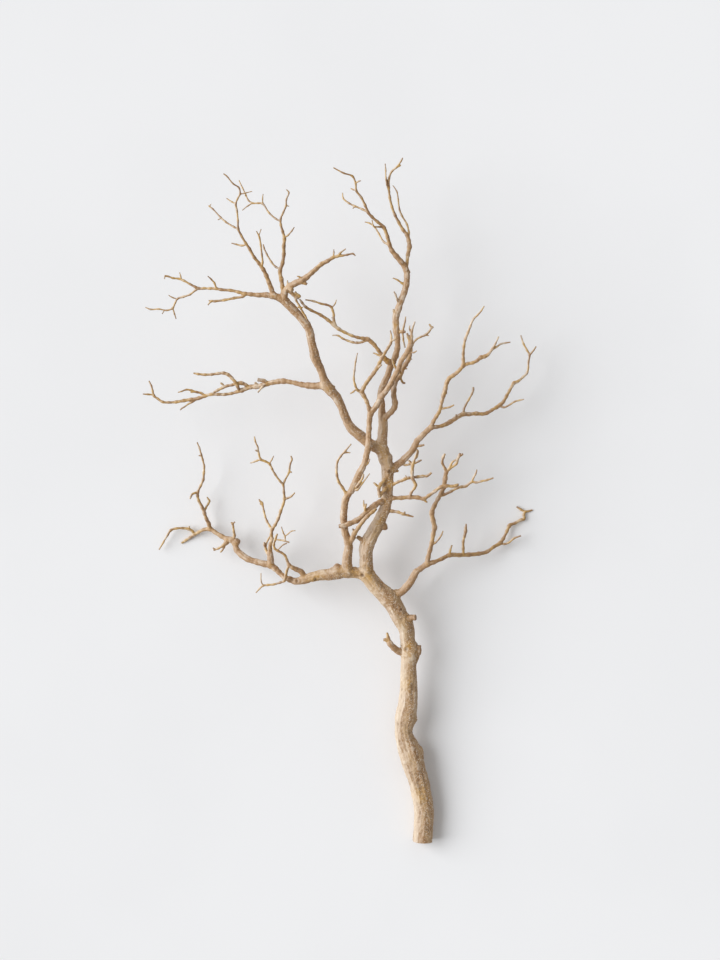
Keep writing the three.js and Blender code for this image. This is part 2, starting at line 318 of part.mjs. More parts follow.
const LEFT_MIDDLE = [
  ["main_left_limb", "left_middle_limb", [-20, 180, 0, 15], [-31, 183, -2, 12.5],
    [-41, 182.5, -4, 11], [-51, 183, -6, 10], [-61, 184.5, -8, 8], [-71, 187, -10, 7],
    [-80, 188.5, -12, 6.8], [-90, 190, -14, 8.2], [-98, 189.5, -16, 7.6], [-108, 188, -18, 7],
    [-116, 186, -20, 7], [-125, 183, -22, 7], [-134, 181.5, -24, 7.4], [-143, 181, -26, 7],
    [-150, 178.5, -28, 6], [-157, 175.5, -29, 6.8], [-165, 173, -31, 5], [-174, 170.5, -33, 4.4],
    [-184, 169, -34, 4.2], [-195, 169, -36, 4],
    "left_middle_tip", [-206, 169, -37, 4.4], [-216, 166.5, -39, 5], [-226, 162.8, -41, 5.6],
    [-238, 160.8, -43, 5.2],
    [-250, 159, -45, 5], [-262, 157, -47, 4.2], [-274, 156, -48, 3.6], [-284, 157, -49, 3.8],
    [-291, 161.5, -50, 3.5], [-298, 167, -51, 3.8], [-300, 175, -51, 3], [-302, 183, -51, 2.8],
    [-306, 191, -51, 2.3]],
  ["left_middle_limb", [-115, 187, 0, 6], [-122, 190.5, 2, 5.5], [-132, 192.5, 4, 5.5]],
  ["left_middle_limb", [-117, 185, 0, 4], [-124, 181, 6, 3.4], [-132, 171.5, 8, 2]],
  ["left_middle_limb", [-131, 182, 0, 4], [-135, 187, 2, 3], [-137, 187.5, 3, 2.4]],
  ["left_middle_limb", [-145, 180, 0, 5], [-151, 184.5, 3, 4.5], [-158, 187, 4, 6],
    [-165, 186.5, 4, 5], [-173, 184, 3, 4.2], [-181, 182.5, 2, 4], [-188, 179.5, 1, 3.8],
    [-196, 175.5, 0, 4], [-203, 171.5, 0, 3.6]],
  ["left_middle_limb", [-185, 182, 0, 3], [-189, 186, 1, 2.6], [-192, 187.5, 2, 2]],
  ["left_middle_limb", [-161, 174, 0, 5], [-164, 182, 9, 5], [-168, 189, 12, 4.6],
    [-173, 195, 13, 4.6], [-179, 200.5, 13, 4.6], [-186, 203, 13, 4.4], [-195, 202.5, 12, 4],
    [-205, 201, 11, 3.8], [-216, 200.5, 10, 3.8], [-227, 201.5, 9, 3.4], [-235, 203, 8, 2.6]],
  ["left_middle_tip", [-216, 168, 0, 4], [-222, 171, 1, 3.4], [-229, 172.5, 2, 3.4],
    [-238, 175.5, 3, 3], [-246, 176.5, 4, 2.6], [-253, 174, 5, 2.2], [-260, 172, 5, 1.6]],
  ["left_middle_tip", [-231, 172.5, 0, 2.6], [-240, 172, 0, 1.8]],
  ["left_middle_tip", [-227, 161.5, 0, 3.4], [-237, 156.5, -3, 2.8], [-243, 153.5, -4, 2.4],
    [-249, 149, -5, 2.2], [-254, 146, -6, 2], [-256, 143, -6, 1.5]],
  ["left_middle_tip", [-299, 168, 0, 2.8], [-307, 169, 1, 2.6], [-316, 169.5, 2, 2]],
];

const UPPER_LEFT_TWIGS = [
  ["upper_left_limb", [-150, 329, 0, 4.5], [-156, 325.5, -2, 4], [-170, 323, -4, 4],
    [-185, 320, -6, 3.8], [-200, 318, -8, 3.6], [-206, 318, -9, 3.2], [-212, 311, -10, 2]],
  ["upper_left_limb", [-206, 318, 0, 2.4], [-211, 319.5, 1, 1.8]],
  ["upper_left_limb", [-198, 338, 0, 3.4], [-201, 347, 3, 2.8], [-206, 353, 5, 2.4],
    [-212, 358.5, 7, 1.8]],
  ["upper_left_limb", [-226, 338, 0, 3.8], [-231, 336, -2, 3.2], [-240, 329, -5, 3],
    [-251, 325, -8, 3], [-260, 322, -10, 3], [-264, 315, -12, 2.8], [-268, 307, -14, 3],
    [-277, 303.5, -16, 2.4], [-290, 305.5, -18, 2.2], [-303, 305, -20, 2.2],
    [-312, 308.5, -21, 1.6]],
  ["upper_left_limb", [-281, 302.5, 0, 2], [-285, 297, -1, 1.5]],
  ["upper_left_limb", [-267, 307, 0, 2.4], [-265, 298, -2, 2.2], [-262, 289, -4, 1.8]],
  ["upper_left_limb", [-261, 322, 0, 2], [-268, 324, 1, 1.8], [-275, 328, 2, 1.5]],
  ["upper_left_limb", [-254, 353, 0, 2.2], [-255, 358, 1, 2], [-257, 365, 2, 1.6]],
  ["upper_left_limb", [-280, 359, 0, 2], [-281, 353, -1, 1.6]],
];

const UPPER_FINGERS = [
  ["main_left_upper", "upper_left_finger", [-94, 321, 0, 9], [-106, 329, 3, 8],
    [-110, 338, 6, 7], [-114, 349, 10, 6.5], [-118, 359, 14, 6.5], [-123, 369, 18, 6],
    [-130, 379, 21, 5], [-137, 388, 24, 4.8], [-145, 402, 28, 4.5], [-151, 411, 31, 4],
    [-158, 423, 34, 3.6], [-163, 434, 37, 3.8], [-163.5, 447, 40, 3], [-165, 463, 44, 3],
    [-167, 473, 46, 3.2], [-164, 482, 48, 2.8], [-160, 490, 50, 2.8], [-162, 500, 52, 2.5],
    [-171, 506, 54, 2.3], [-181, 518, 56, 2], [-187, 522.5, 57, 1.8]],
  ["upper_left_finger", [-150, 409, 0, 3], [-157, 407, -3, 2.8], [-166, 409, -5, 2.5],
    [-174, 411, -7, 2]],
  ["upper_left_finger", [-163, 433, 0, 3], [-170, 437, -3, 2.8], [-183, 445, -7, 2.8],
    [-192, 453, -10, 2.6], [-204, 466, -14, 2.3], [-211, 471, -16, 1.8]],
  ["upper_left_finger", [-209, 470, 0, 1.8], [-206, 474, 1, 1.4]],
  ["upper_left_finger", [-190, 451, 0, 2], [-196, 448, -1, 1.5]],
  ["upper_left_finger", [-167, 474, 0, 2.4], [-173, 477, -2, 2.2], [-182, 483, -4, 1.6]],
  ["upper_left_finger", [-160, 489, 0, 2.2], [-152, 491, 2, 1.9], [-140, 494, 4, 1.5]],
  ["upper_left_finger", [-125, 373, 0, 3.6], [-124, 380, 4, 3.2], [-125, 392, 9, 3],
    [-127, 408, 15, 3], [-129, 420, 19, 2.8], [-134, 431, 23, 1.8]],
  ["upper_left_finger", [-129, 423, 0, 2], [-126, 434, 3, 1.6]],
  ["main_left_upper", "upper_middle_finger", [-92, 321, 0, 8], [-91, 331, 2, 7],
    [-92, 341, 4, 6], [-94, 353, 6, 6], [-96, 366, 8, 6], [-92, 379, 10, 5.5],
    [-90, 393, 12, 5.5], [-90, 406, 14, 5.5], [-89, 418, 16, 5], [-92, 430, 18, 4.2],
    [-95, 441, 20, 3.6], [-95, 450, 22, 3.2], [-91, 460, 24, 3], [-86.5, 471, 26, 3],
    [-86, 481, 28, 2.6], [-82, 492, 30, 2.4], [-86, 497, 31, 1.8]],
  ["upper_middle_finger", [-86, 471, 0, 2], [-81, 470, 1, 1.5]],
  ["upper_middle_finger", [-96, 370, 0, 3.6], [-103, 373, -5, 3], [-110, 381, -9, 3],
    [-117, 393, -13, 2.8], [-122, 404, -16, 2.6], [-123, 410, -17, 2]],
  ["upper_middle_finger", [-89, 420, 0, 3], [-83, 424, 3, 2.6], [-77, 431, 6, 2.3],
    [-73, 437, 8, 1.8]],
  ["upper_middle_finger", [-95, 446, 0, 3], [-103, 450, -4, 2.8], [-114, 460, -8, 2.8],
    [-124, 474, -12, 2.8], [-131, 475, -13, 2.6], [-140, 475, -15, 2.6], [-147, 480, -17, 2.4],
    [-151, 489, -19, 2.3], [-156, 499, -21, 2.2], [-162, 512, -24, 1.8]],
  ["upper_middle_finger", [-124, 473, 0, 2.2], [-124, 482, 2, 2], [-123, 490, 4, 1.6]],
  ["upper_middle_finger", [-140, 475, 0, 2.2], [-147, 471, -1, 2], [-157, 463, -3, 1.6]],
  ["upper_middle_finger", [-150, 487, 0, 2.2], [-152.5, 487, 1, 2]],
];

const UPPER_RIGHT_ARM = [
  ["main_left_upper", "upper_right_arm", [-88, 317, 0, 10], [-88, 328, 8, 9], [-86, 336, 14, 9],
    [-80, 342, 20, 9.5], [-71, 347, 25, 10.5], [-61, 351.5, 29, 11], [-53, 357, 32, 8.5],
    [-45, 364, 35, 7.5], [-38, 370, 37, 7], [-30, 377, 39, 6.4], [-20, 382.5, 41, 6],
    [-12, 387.5, 43, 5], [-4, 390, 44, 4.2], [3, 391, 45, 3.4], [12, 392.5, 46, 3],
    [21, 394, 46, 2.4], [25, 390, 46, 1.8]],
  ["upper_right_arm", [-4, 390, 0, 3.2], [0, 395, 2, 2.8], [10, 402.5, 4, 2]],
  ["upper_right_arm", [-11, 388, 0, 2.6], [-10, 396, 2, 2.2], [-10, 402, 3, 1.6]],
  ["upper_right_arm", [-83, 340, 0, 3], [-84, 347, 3, 2.4], [-84, 352, 4, 1.8]],
  ["upper_right_arm", [-60, 352, 0, 3], [-65, 357, 3, 2.4], [-69, 358, 4, 1.8]],
  ["upper_right_arm", [-64, 350, 0, 6], [-57, 347.5, 2, 5], [-53, 345, 3, 4.4]],
  ["upper_right_arm", [-82, 340, 0, 7], [-78, 337, 7, 6], [-76, 336, 9, 5]],
  ["upper_right_arm", "knuckle_twigs", [-85, 337, 0, 6], [-80, 333.5, -2, 5.4],
    [-75, 329, -4, 5], [-70, 325, -6, 4.8], [-66, 322.5, -8, 3.2]],
  ["knuckle_twigs", [-74, 328, 0, 3.6], [-70, 319, -3, 3], [-66, 312, -5, 2.8],
    [-63, 307, -7, 3.4], [-60, 301, -9, 3.2], [-56, 295, -11, 3], [-52.5, 288.5, -13, 2.6]],
  ["knuckle_twigs", [-65, 309, 0, 2.6], [-69, 307.5, 1, 2.2]],
  ["knuckle_twigs", [-63, 308, 0, 2.4], [-58, 308.5, 1, 1.8]],
  ["knuckle_twigs", [-68, 324, 0, 3], [-64, 325.5, 2, 3], [-66, 328, 4, 2.8],
    [-71, 331.5, 5, 2.6], [-71, 334.5, 5, 2]],
];

const RIGHT_MIDDLE = [
  ["leader_lower", "crossing_stub_limb", [74, -2, 0, 9], [65, -3, 8, 9], [56, -8, 12, 9],
    [46, -16, 14, 8.5], [36, -26, 16, 8], [26, -33, 18, 8], [15, -38, 19, 8], [5, -41.5, 19, 7],
    [-2, -42, 19, 6]],
  ["crossing_stub_limb", [40, -21, 0, 4], [40, -14, 4, 3.5], [42, -6, 7, 3]],
  ["crossing_stub_limb", [40, -17, 0, 3], [38, -8, 3, 2.5], [38, 0, 5, 1.8]],
  ["leader_lower", "right_middle_limb", [75, 2, 0, 7], [86, 3, 4, 6], [98, 3.5, 6, 6],
    [112, 4.5, 8, 6.5], [124, 4, 10, 6], [134, 2, 11, 5.5], [142, 7, 12, 5], [152, 14, 13, 4.6],
    [162, 21, 14, 5], [170, 22.5, 14, 5], [180, 22, 13, 4.2], [185, 22.8, 13, 4.2],
    [190, 25, 12, 3.5]],
  ["right_middle_limb", [134, 2, 0, 3], [137, -2, -1, 2.6], [140, -4, -2, 2]],
  ["right_middle_limb", "upright_twig", [112, 4, 0, 5], [114, 12, 6, 4], [119, 19, 10, 4],
    [121, 24, 11, 4.6], [119, 29, 12, 4.2], [116, 35, 13, 5], [115.5, 45, 14, 4.6],
    [116, 55, 15, 5.2], [118, 61, 16, 3.6], [121, 69, 17, 3], [124, 81, 18, 2.4]],
  ["upright_twig", [116, 56, 0, 3.6], [112, 61, 0, 3], [109.5, 64, 1, 2.4]],
  ["leader_middle", "right_middle_twig", [78, 23, 0, 6], [86, 25.5, 6, 4.6], [93, 29, 9, 4],
    [99, 31, 10, 4], [104, 33.5, 11, 4.8], [110, 35.3, 11, 4], [116, 36, 10, 3.8],
    [124, 37, 10, 4.2], [132, 38, 10, 3.8], [139, 38.5, 11, 3.4], [143, 41, 12, 3.2],
    [146.5, 44, 13, 3.2]],
  ["right_middle_twig", [106, 35, 0, 2], [105, 40, 2, 1.5]],
];

const RIGHT_UPPER = [
  ["leader_middle", "right_upper_limb", [76, 45, 0, 15], [84, 51, -1, 13.5], [91, 56, -2, 11],
    [98, 61, -3, 11], [104, 67, -3, 10], [110, 73, -2, 9.2], [116, 80, -1, 9.2],
    [120, 87, 0, 9.4], [123, 94, 1, 9], [128, 99, 2, 8], [134, 105, 3, 8], [140, 111, 4, 8],
    [146, 116, 5, 8],
    "right_outer_limb", [155, 117, 3, 5.2], [163, 118.8, 0, 5.4], [170, 121.5, -3, 6.2],
    [176, 125, -5, 7], [184, 130, -7, 6.2], [191, 134.5, -9, 6], [198, 137.5, -11, 7],
    [206, 137, -13, 5.4], [218, 138.3, -16, 5.8], [228, 137.5, -19, 5], [235, 139, -21, 5.2],
    [243, 144, -23, 4.6], [250, 148, -25, 5], [256, 152, -27, 5.8], [261, 157, -28, 5],
    [266, 166, -30, 5], [271, 175, -32, 4.2], [275, 182, -33, 4], [278, 187, -34, 5.4],
    [285, 190, -35, 3.8], [293, 197, -37, 3.2], [299, 203, -38, 3.4], [301, 211, -38, 3],
    [301.5, 221, -38, 3], [303, 232, -38, 3.6], [299, 240, -38, 3], [293.5, 250, -37, 2.8],
    [289, 264, -36, 2.2]],
  ["right_upper_limb", [98, 60, 0, 4], [104, 56, 1, 3], [111, 57, 2, 2.8], [120, 59, 3, 2.8],
    [126, 62, 4, 2.8], [131, 64, 5, 2.4]],
  ["leader_middle", [78, 47, 0, 7], [88, 47, -1, 5], [94, 46, -1, 3]],
  ["right_upper_limb", [121, 85, 0, 3.6], [129, 86.8, 2, 3], [135.5, 88.5, 3, 2.8]],
  ["right_upper_limb", [119, 83, 0, 4], [124, 78, -3, 3.4], [123, 70, -4, 3], [121, 66, -4, 2.6]],
  ["right_outer_limb", [182, 129.5, 0, 3.4], [185, 133.5, 2, 2.4], [186, 138, 3, 1.8]],
  ["right_outer_limb", [197, 138, 0, 4], [198, 145, 3, 3.2], [201, 152, 5, 3],
    [206, 161, 8, 3], [211, 170, 11, 3], [213, 176, 12, 3], [213, 181, 13, 3.2]],
  ["right_outer_limb", [255, 150, 0, 3.4], [262, 148.3, 1, 2.8], [267, 150, 2, 2.6],
    [273, 153.5, 3, 2.6], [279, 157.3, 4, 2.6], [287, 159.5, 5, 2.2], [295, 161.2, 6, 1.5]],
  ["right_outer_limb", [303, 231, 0, 2.8], [306, 235, 1, 2.6], [310, 240, 2, 2.5],
    [314, 246, 3, 2.2]],
  ["right_upper_limb", "right_tall_limb", [145, 115, 0, 6.5], [149, 125, 4, 5.8],
    [153.5, 133, 7, 5.6], [158, 140, 10, 5.4], [161, 149, 13, 4.8], [163, 158, 16, 5],
    [165.5, 167, 19, 6], [168.5, 177, 22, 6.4], [171, 188, 25, 6], [175, 195, 27, 6],
    [181, 199, 28, 5.6], [187, 203.5, 29, 5], [192, 209, 31, 5], [197, 215, 33, 6],
    "right_tall_tip", [197, 226, 36, 4.8], [197, 235, 39, 4.5], [198, 246, 42, 4.2],
    [200.5, 258, 45, 4], [204.5, 268, 48, 4], [208, 277, 50, 3.4], [213, 289, 53, 3],
    [220, 296, 55, 2.8], [226, 303, 57, 2.5], [231, 311, 59, 2]],
  ["right_tall_limb", [160, 145, 0, 3.2], [167, 147, 2, 2.8], [175, 148.5, 3, 2.6],
    [183, 152.5, 4, 2.2]],
  ["right_tall_limb", [167, 171, 0, 6], [170, 171.5, 0, 4]],
  ["right_tall_limb", "right_tall_side_twig", [196, 214, 0, 5], [204, 218, 0, 4.6],
    [212, 219.5, 0, 5], [219, 223, 0, 5], [225, 228, 0, 6], [232, 230, 0, 5.4],
    [237, 233, 0, 4.2], [243, 241, 1, 4], [248, 249, 3, 2.8], [254, 262, 5, 2.2]],
  ["right_tall_side_twig", [243, 240.5, 0, 3.4], [250, 244.5, -1, 2.6], [257, 249.5, -2, 2.4],
    [265, 251.3, -3, 2.2], [273, 252.5, -4, 1.8]],
];

const WOOD = [
  ...TRUNK_AND_LEADER,
  ...TRUNK_STUBS,
  ...LEADER_TWIGS,
  ...TOP_SPRAYS,
  ...RIGHT_LOWER,
  ...LEFT_LOWER,
  ...LEFT_RISING,
  ...LEFT_ARCH,
  ...INNER_AND_FRONT,
  ...BOW,
  ...LONG_CROSSING,
  ...MAIN_LEFT,
  ...LEFT_MIDDLE,
  ...UPPER_LEFT_TWIGS,
  ...UPPER_FINGERS,
  ...UPPER_RIGHT_ARM,
  ...RIGHT_MIDDLE,
  ...RIGHT_UPPER,
];

// Colours of the weathered wood, from the thick trunk out to the thin twigs.
const COLOURS = [
  { thickness: 20, colour: 0xc3a47e },
  { thickness: 9, colour: 0xb08a60 },
  { thickness: 0, colour: 0x9c7a52 },
];
const ROUGHNESS = 0.85;

const UP = new THREE.Vector3(0, 0, 1);

const wasm = await Module();
wasm.setup();

// Where a drawn point really is: the nearer it is to the eye, the larger it was drawn.
function place([x, y, height, thickness]) {
  const scale = 1 - (height - MIDDLE_HEIGHT) / EYE_HEIGHT;
  const point = new THREE.Vector3(
    EYE_X + (x - EYE_X) * scale - ORIGIN_X,
    EYE_Y + (y - EYE_Y) * scale - ORIGIN_Y,
    height - FLOOR_DROP,
  );
  return { point, radius: (thickness / 2) * scale };
}

// A path as a smooth curve whose thickness follows its points.
class Limb {
  constructor(parent, drawn) {
    const placed = drawn.map(place);
    const points = placed.map((one) => one.point);
    this.parent = parent;
    this.drawn = drawn;
    this.radii = placed.map((one) => one.radius);
    this.curve = new THREE.CatmullRomCurve3(points, false, "centripetal");
    this.curve.arcLengthDivisions = drawn.length * 24;
    this.length = this.curve.getLength();
    this.stretches = []; // which piece owns the wood between which two points
    this.forkEnd = 0; // up to this share of the length it stays part of its parent
  }

  // The share of the length, from 0 to 1, at which a point of the path lies.
  shareOfPoint(index) {
    const lengths = this.curve.getLengths();
    const division = Math.round((index / (this.drawn.length - 1)) * (lengths.length - 1));
    return lengths[division] / this.length;
  }

  at(share) {
    const t = this.curve.getUtoTmapping(share);
    const where = t * (this.radii.length - 1);
    const index = Math.min(Math.floor(where), this.radii.length - 2);
    const radius = THREE.MathUtils.lerp(this.radii[index], this.radii[index + 1], where - index);
    return { share, point: this.curve.getPoint(t), tangent: this.curve.getTangent(t), radius };
  }

  // Evenly spaced places along the limb.
  get walk() {
    const count = Math.max(4, Math.ceil(this.length / WALK));
    this.steps ??= Array.from({ length: count + 1 }, (_, i) => this.at(i / count));
    return this.steps;
  }
}

// The place on a piece, in the drawn frame, that lies nearest to a drawn point.
function nearestOnPiece(stretches, x, y) {
  let best = { distance: Infinity };
  for (const { limb, first, last } of stretches) {
    for (let i = first; i < last; i++) {
      const [ax, ay, az] = limb.drawn[i];
      const [bx, by, bz] = limb.drawn[i + 1];
      const dx = bx - ax;
      const dy = by - ay;
      const along = ((x - ax) * dx + (y - ay) * dy) / (dx * dx + dy * dy);
      const share = THREE.MathUtils.clamp(along, 0, 1);
      const distance = Math.hypot(ax + dx * share - x, ay + dy * share - y);
      if (distance < best.distance) {
        best = { distance, x: ax + dx * share, y: ay + dy * share, z: az + (bz - az) * share };
      }
    }
  }
  return best;
}

// Moves a path onto the wood that it grows from, and makes its heights true heights.
function rootedPoints(points, parentStretches) {
  if (!parentStretches) return points;
  const foot = nearestOnPiece(parentStretches, points[0][0], points[0][1]);
  const raised = points.map(([x, y, rise, thickness]) => [x, y, foot.z + rise, thickness]);
  raised[0][0] = foot.x;
  raised[0][1] = foot.y;
  return raised;
}

// Turns the paths into limbs. The stretches say which part of a limb belongs to which piece.
function growWood(paths) {
  const limbs = [];
  const pieces = new Map();
  for (const [parent, ...entries] of paths) {
    const points = entries.filter((entry) => Array.isArray(entry));
    const limb = new Limb(parent, rootedPoints(points, pieces.get(parent)));
    limb.leaves = pieces.has(parent) && typeof entries[0] === "string";
    let name = parent;
    let first = 0;
    let passed = 0;
    const close = (last) => {
      if (last > first) limb.stretches.push({ name, limb, first, last });
    };
    for (const entry of entries) {
      if (Array.isArray(entry)) {
        passed += 1;
        continue;
      }
      close(passed);
      name = entry;
      first = passed;
    }
    close(points.length - 1);
    for (const stretch of limb.stretches) {
      if (!pieces.has(stretch.name)) pieces.set(stretch.name, []);
      pieces.get(stretch.name).push(stretch);
    }
    limbs.push(limb);
  }
  return { limbs, pieces };
}

function touches(here, limb) {
  return limb.walk.some((there) => {
    const apart = here.radius + there.radius + CLEAR_OF_FORK;
    return here.point.distanceTo(there.point) < apart;
  });
}

// Where a fork ends: from there on the limb stands clear of the wood that it grows from, and of
// the limbs that leave beside it.
function endOfFork(limb, neighbours) {
  let clearFrom = null;
  for (const here of limb.walk) {
    if (neighbours.some((other) => touches(here, other))) {
      clearFrom = null;
      continue;
    }
    clearFrom ??= here.share;
    if ((here.share - clearFrom) * limb.length >= CLEAR_RUN) return clearFrom;
  }
  throw new Error("a limb never comes clear of " + limb.parent);
}

function findForkEnds(limbs, pieces) {
  for (const limb of limbs) {
    if (!limb.leaves) continue;
    const ofParent = pieces.get(limb.parent).map((stretch) => stretch.limb);
    const start = limb.walk[0].point;
    const siblings = limbs.filter(
      (other) =>
        other.leaves &&
        other.parent === limb.parent &&
        other.walk[0].point.distanceTo(start) < SIBLING_REACH,
    );
    const neighbours = new Set([...ofParent, ...siblings]);
    neighbours.delete(limb);
    limb.forkEnd = endOfFork(limb, [...neighbours]);
  }
}

function sidesFor(thickness) {
  return SIDES.find((row) => thickness >= row.thickness).sides;
}

// The places along a stretch where a ring of corners is needed to follow its bends and swellings.
function ringsOfStretch(limb, from, to) {
  const inside = limb.walk.filter((here) => here.share > from && here.share < to);
  const places = [limb.at(from), ...inside, limb.at(to)];
  const ringsBetween = (first, last) => {
    const start = places[first];
    const end = places[last];
    let worst = { error: 1, index: null };
    for (let i = first + 1; i < last; i++) {
      const { share, point, radius } = places[i];
      const along = (share - start.share) / (end.share - start.share);
      const straight = start.point.clone().lerp(end.point, along);
      const swelling = Math.abs(THREE.MathUtils.lerp(start.radius, end.radius, along) - radius);
      const allowed = BEND_BASE + BEND_PER_THICKNESS * 2 * radius;
      const error = (straight.distanceTo(point) + swelling) / allowed;
      if (error > worst.error) worst = { error, index: i };
    }
    if (worst.index === null) return [];
    return [
      ...ringsBetween(first, worst.index),
      places[worst.index],
      ...ringsBetween(worst.index, last),
    ];
  };
  return [places[0], ...ringsBetween(0, places.length - 1), places.at(-1)];
}

// A stretch of a limb as a closed solid with flat ends.
function solidOfStretch(limb, from, to) {
  const rings = ringsOfStretch(limb, from, to);
  const sides = sidesFor(2 * Math.max(...rings.map((ring) => ring.radius)));
  const fullness = 2 / (1 + Math.cos(Math.PI / sides)); // evens out the flat sides
  const tube = new THREE.CylinderGeometry(1, 1, 1, sides, rings.length - 1);
  const corners = tube.getAttribute("position");
  for (let i = 0; i < corners.count; i++) {
    const ring = rings[Math.round((corners.getY(i) + 0.5) * (rings.length - 1))];
    const side = new THREE.Vector3().crossVectors(UP, ring.tangent).normalize();
    const over = new THREE.Vector3().crossVectors(ring.tangent, side);
    const corner = ring.point.clone();
    corner.addScaledVector(side, corners.getZ(i) * ring.radius * fullness);
    corner.addScaledVector(over, corners.getX(i) * ring.radius * fullness);
    corners.setXYZ(i, corner.x, corner.y, corner.z);
  }
  tube.deleteAttribute("normal");
  tube.deleteAttribute("uv");
  const welded = mergeVertices(tube, 1e-4);
  return new wasm.Manifold(
    new wasm.Mesh({
      numProp: 3,
      vertProperties: welded.getAttribute("position").array,
      triVerts: new Uint32Array(welded.getIndex().array),
    }),
  );
}

// The solid of every piece: its own stretches, and the foot of each limb that leaves it.
function solidsOfPieces(limbs) {
  const solids = new Map();
  const add = (name, limb, from, to) => {
    const solid = solidOfStretch(limb, from, to);
    const thickness = 2 * limb.at(from).radius;
    const known = solids.get(name);
    solids.set(name, {
      solid: known ? known.solid.add(solid) : solid,
      thickness: known ? Math.max(known.thickness, thickness) : thickness,
    });
  };
  for (const limb of limbs.filter((one) => one.drawn[0][3] >= THINNEST_TWIG)) {
    const gap = SPLIT_GAP / limb.length;
    if (limb.forkEnd > 0) add(limb.parent, limb, 0, limb.forkEnd);
    for (const { name, first, last } of limb.stretches) {
      const from = Math.max(limb.shareOfPoint(first), limb.forkEnd);
      const to = limb.shareOfPoint(last);
      add(name, limb, from > 0 ? from + gap : 0, to);
    }
  }
  return solids;
}

function meshOfPiece(name, { solid, thickness }) {
  const made = solid.getMesh();
  const geometry = new THREE.BufferGeometry();
  geometry.setAttribute("position", new THREE.BufferAttribute(made.vertProperties, 3));
  geometry.setIndex(new THREE.BufferAttribute(made.triVerts, 1));
  geometry.computeVertexNormals();
  const { colour } = COLOURS.find((row) => thickness >= row.thickness);
  const material = new THREE.MeshStandardMaterial({
    color: colour,
    roughness: ROUGHNESS,
    metalness: 0,
  });
  const mesh = new THREE.Mesh(geometry, material);
  mesh.name = name;
  return mesh;
}

function buildBranch() {
  const { limbs, pieces } = growWood(WOOD);
  findForkEnds(limbs, pieces);
  const branch = new THREE.Group();
  branch.name = "branch";
  for (const [name, piece] of solidsOfPieces(limbs)) {
    branch.add(meshOfPiece(name, piece));
  }
  return branch;
}

export default buildBranch();
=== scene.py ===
# A sandblasted driftwood branch, lying on a pale floor and seen from straight above.
# Its wood is one weathered skin over the same paths as the solids, divided at the main forks.
# Millimetres are used up to the finished skin, and metres from there on.

import itertools
import json
import math
from collections import Counter

import bmesh
import bpy
import numpy as np
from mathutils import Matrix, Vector

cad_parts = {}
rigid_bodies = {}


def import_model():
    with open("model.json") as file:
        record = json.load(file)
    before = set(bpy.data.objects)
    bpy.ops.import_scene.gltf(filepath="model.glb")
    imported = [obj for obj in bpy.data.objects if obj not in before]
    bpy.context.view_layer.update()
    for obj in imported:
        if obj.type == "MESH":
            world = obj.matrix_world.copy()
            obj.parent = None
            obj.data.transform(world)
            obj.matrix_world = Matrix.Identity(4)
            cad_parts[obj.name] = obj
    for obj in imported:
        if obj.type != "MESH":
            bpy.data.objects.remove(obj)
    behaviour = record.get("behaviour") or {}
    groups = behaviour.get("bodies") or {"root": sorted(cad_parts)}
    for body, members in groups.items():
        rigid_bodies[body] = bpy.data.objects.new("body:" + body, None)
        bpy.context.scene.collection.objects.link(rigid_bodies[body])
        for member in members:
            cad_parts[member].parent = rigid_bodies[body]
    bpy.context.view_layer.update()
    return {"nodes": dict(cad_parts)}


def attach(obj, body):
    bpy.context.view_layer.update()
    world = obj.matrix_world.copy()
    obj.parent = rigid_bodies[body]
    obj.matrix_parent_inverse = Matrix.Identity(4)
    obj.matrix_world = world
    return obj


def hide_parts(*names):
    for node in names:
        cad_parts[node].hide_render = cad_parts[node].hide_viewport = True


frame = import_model()

MM = 0.001

# Frame of the paths, the same as that of the solids. Sizes are millimetres.
EYE_HEIGHT = 3200  # the paths are drawn as seen from this far above the middle height
MIDDLE_HEIGHT = 110
EYE = np.array([32, 32])
ORIGIN = np.array([4.2, -12])  # the middle of the branch in the drawn frame
FLOOR_DROP = -0.11  # from the drawn ground down to the true one

# How the wood is divided, as in the solids.
CLEAR_OF_FORK = 1.5  # air between a limb and its neighbours where the fork ends
CLEAR_RUN = 5  # for how long that air has to last
SIBLING_REACH = 40  # limbs that leave within this distance share one fork

# The skin.
STEP = 2  # between two places along a limb
FEWEST_STEPS = 4  # on the shortest limb
DENSE = 24  # spline places between two drawn points, before they are spaced evenly
SIDES = 10  # of the rough tubes that the skin starts from
VOXEL = 1.0
THINNEST = 1.1  # radius of the thinnest rough tube, which the voxels can still hold
SETTLES = 4  # rounds of smoothing and moving onto the true thickness
MOST_MOVE = 1  # the furthest that a point moves in one such round
BUTT_SPARE = 30  # length added to the trunk, then sawn off
REACH = 9  # how far from a limb its fork still swells
RUN = 12  # places in one run of a limb, for finding what lies near
SWELL_SHARE = 0.16  # size of the swelling at a fork, as a share of the radius there
SWELL_LIMITS = (0.35, 2.2)
FIRST_SWELL = 1.5  # blending between limbs while the radius near a point is being found
BUDS_BELOW = 6.5  # radius from which a limb shows no buds at its bends
BUD_SWELL = 0.42  # how much thicker the thinnest twig is at a bud, as a share of its radius
BUD_LENGTH = 2.6
BLUNT_FROM = 1.7  # radius from which a limb ends in a flat break and not in a round tip
BLUNT_AT = 0.3  # how far past its last place it breaks, as a share of its radius

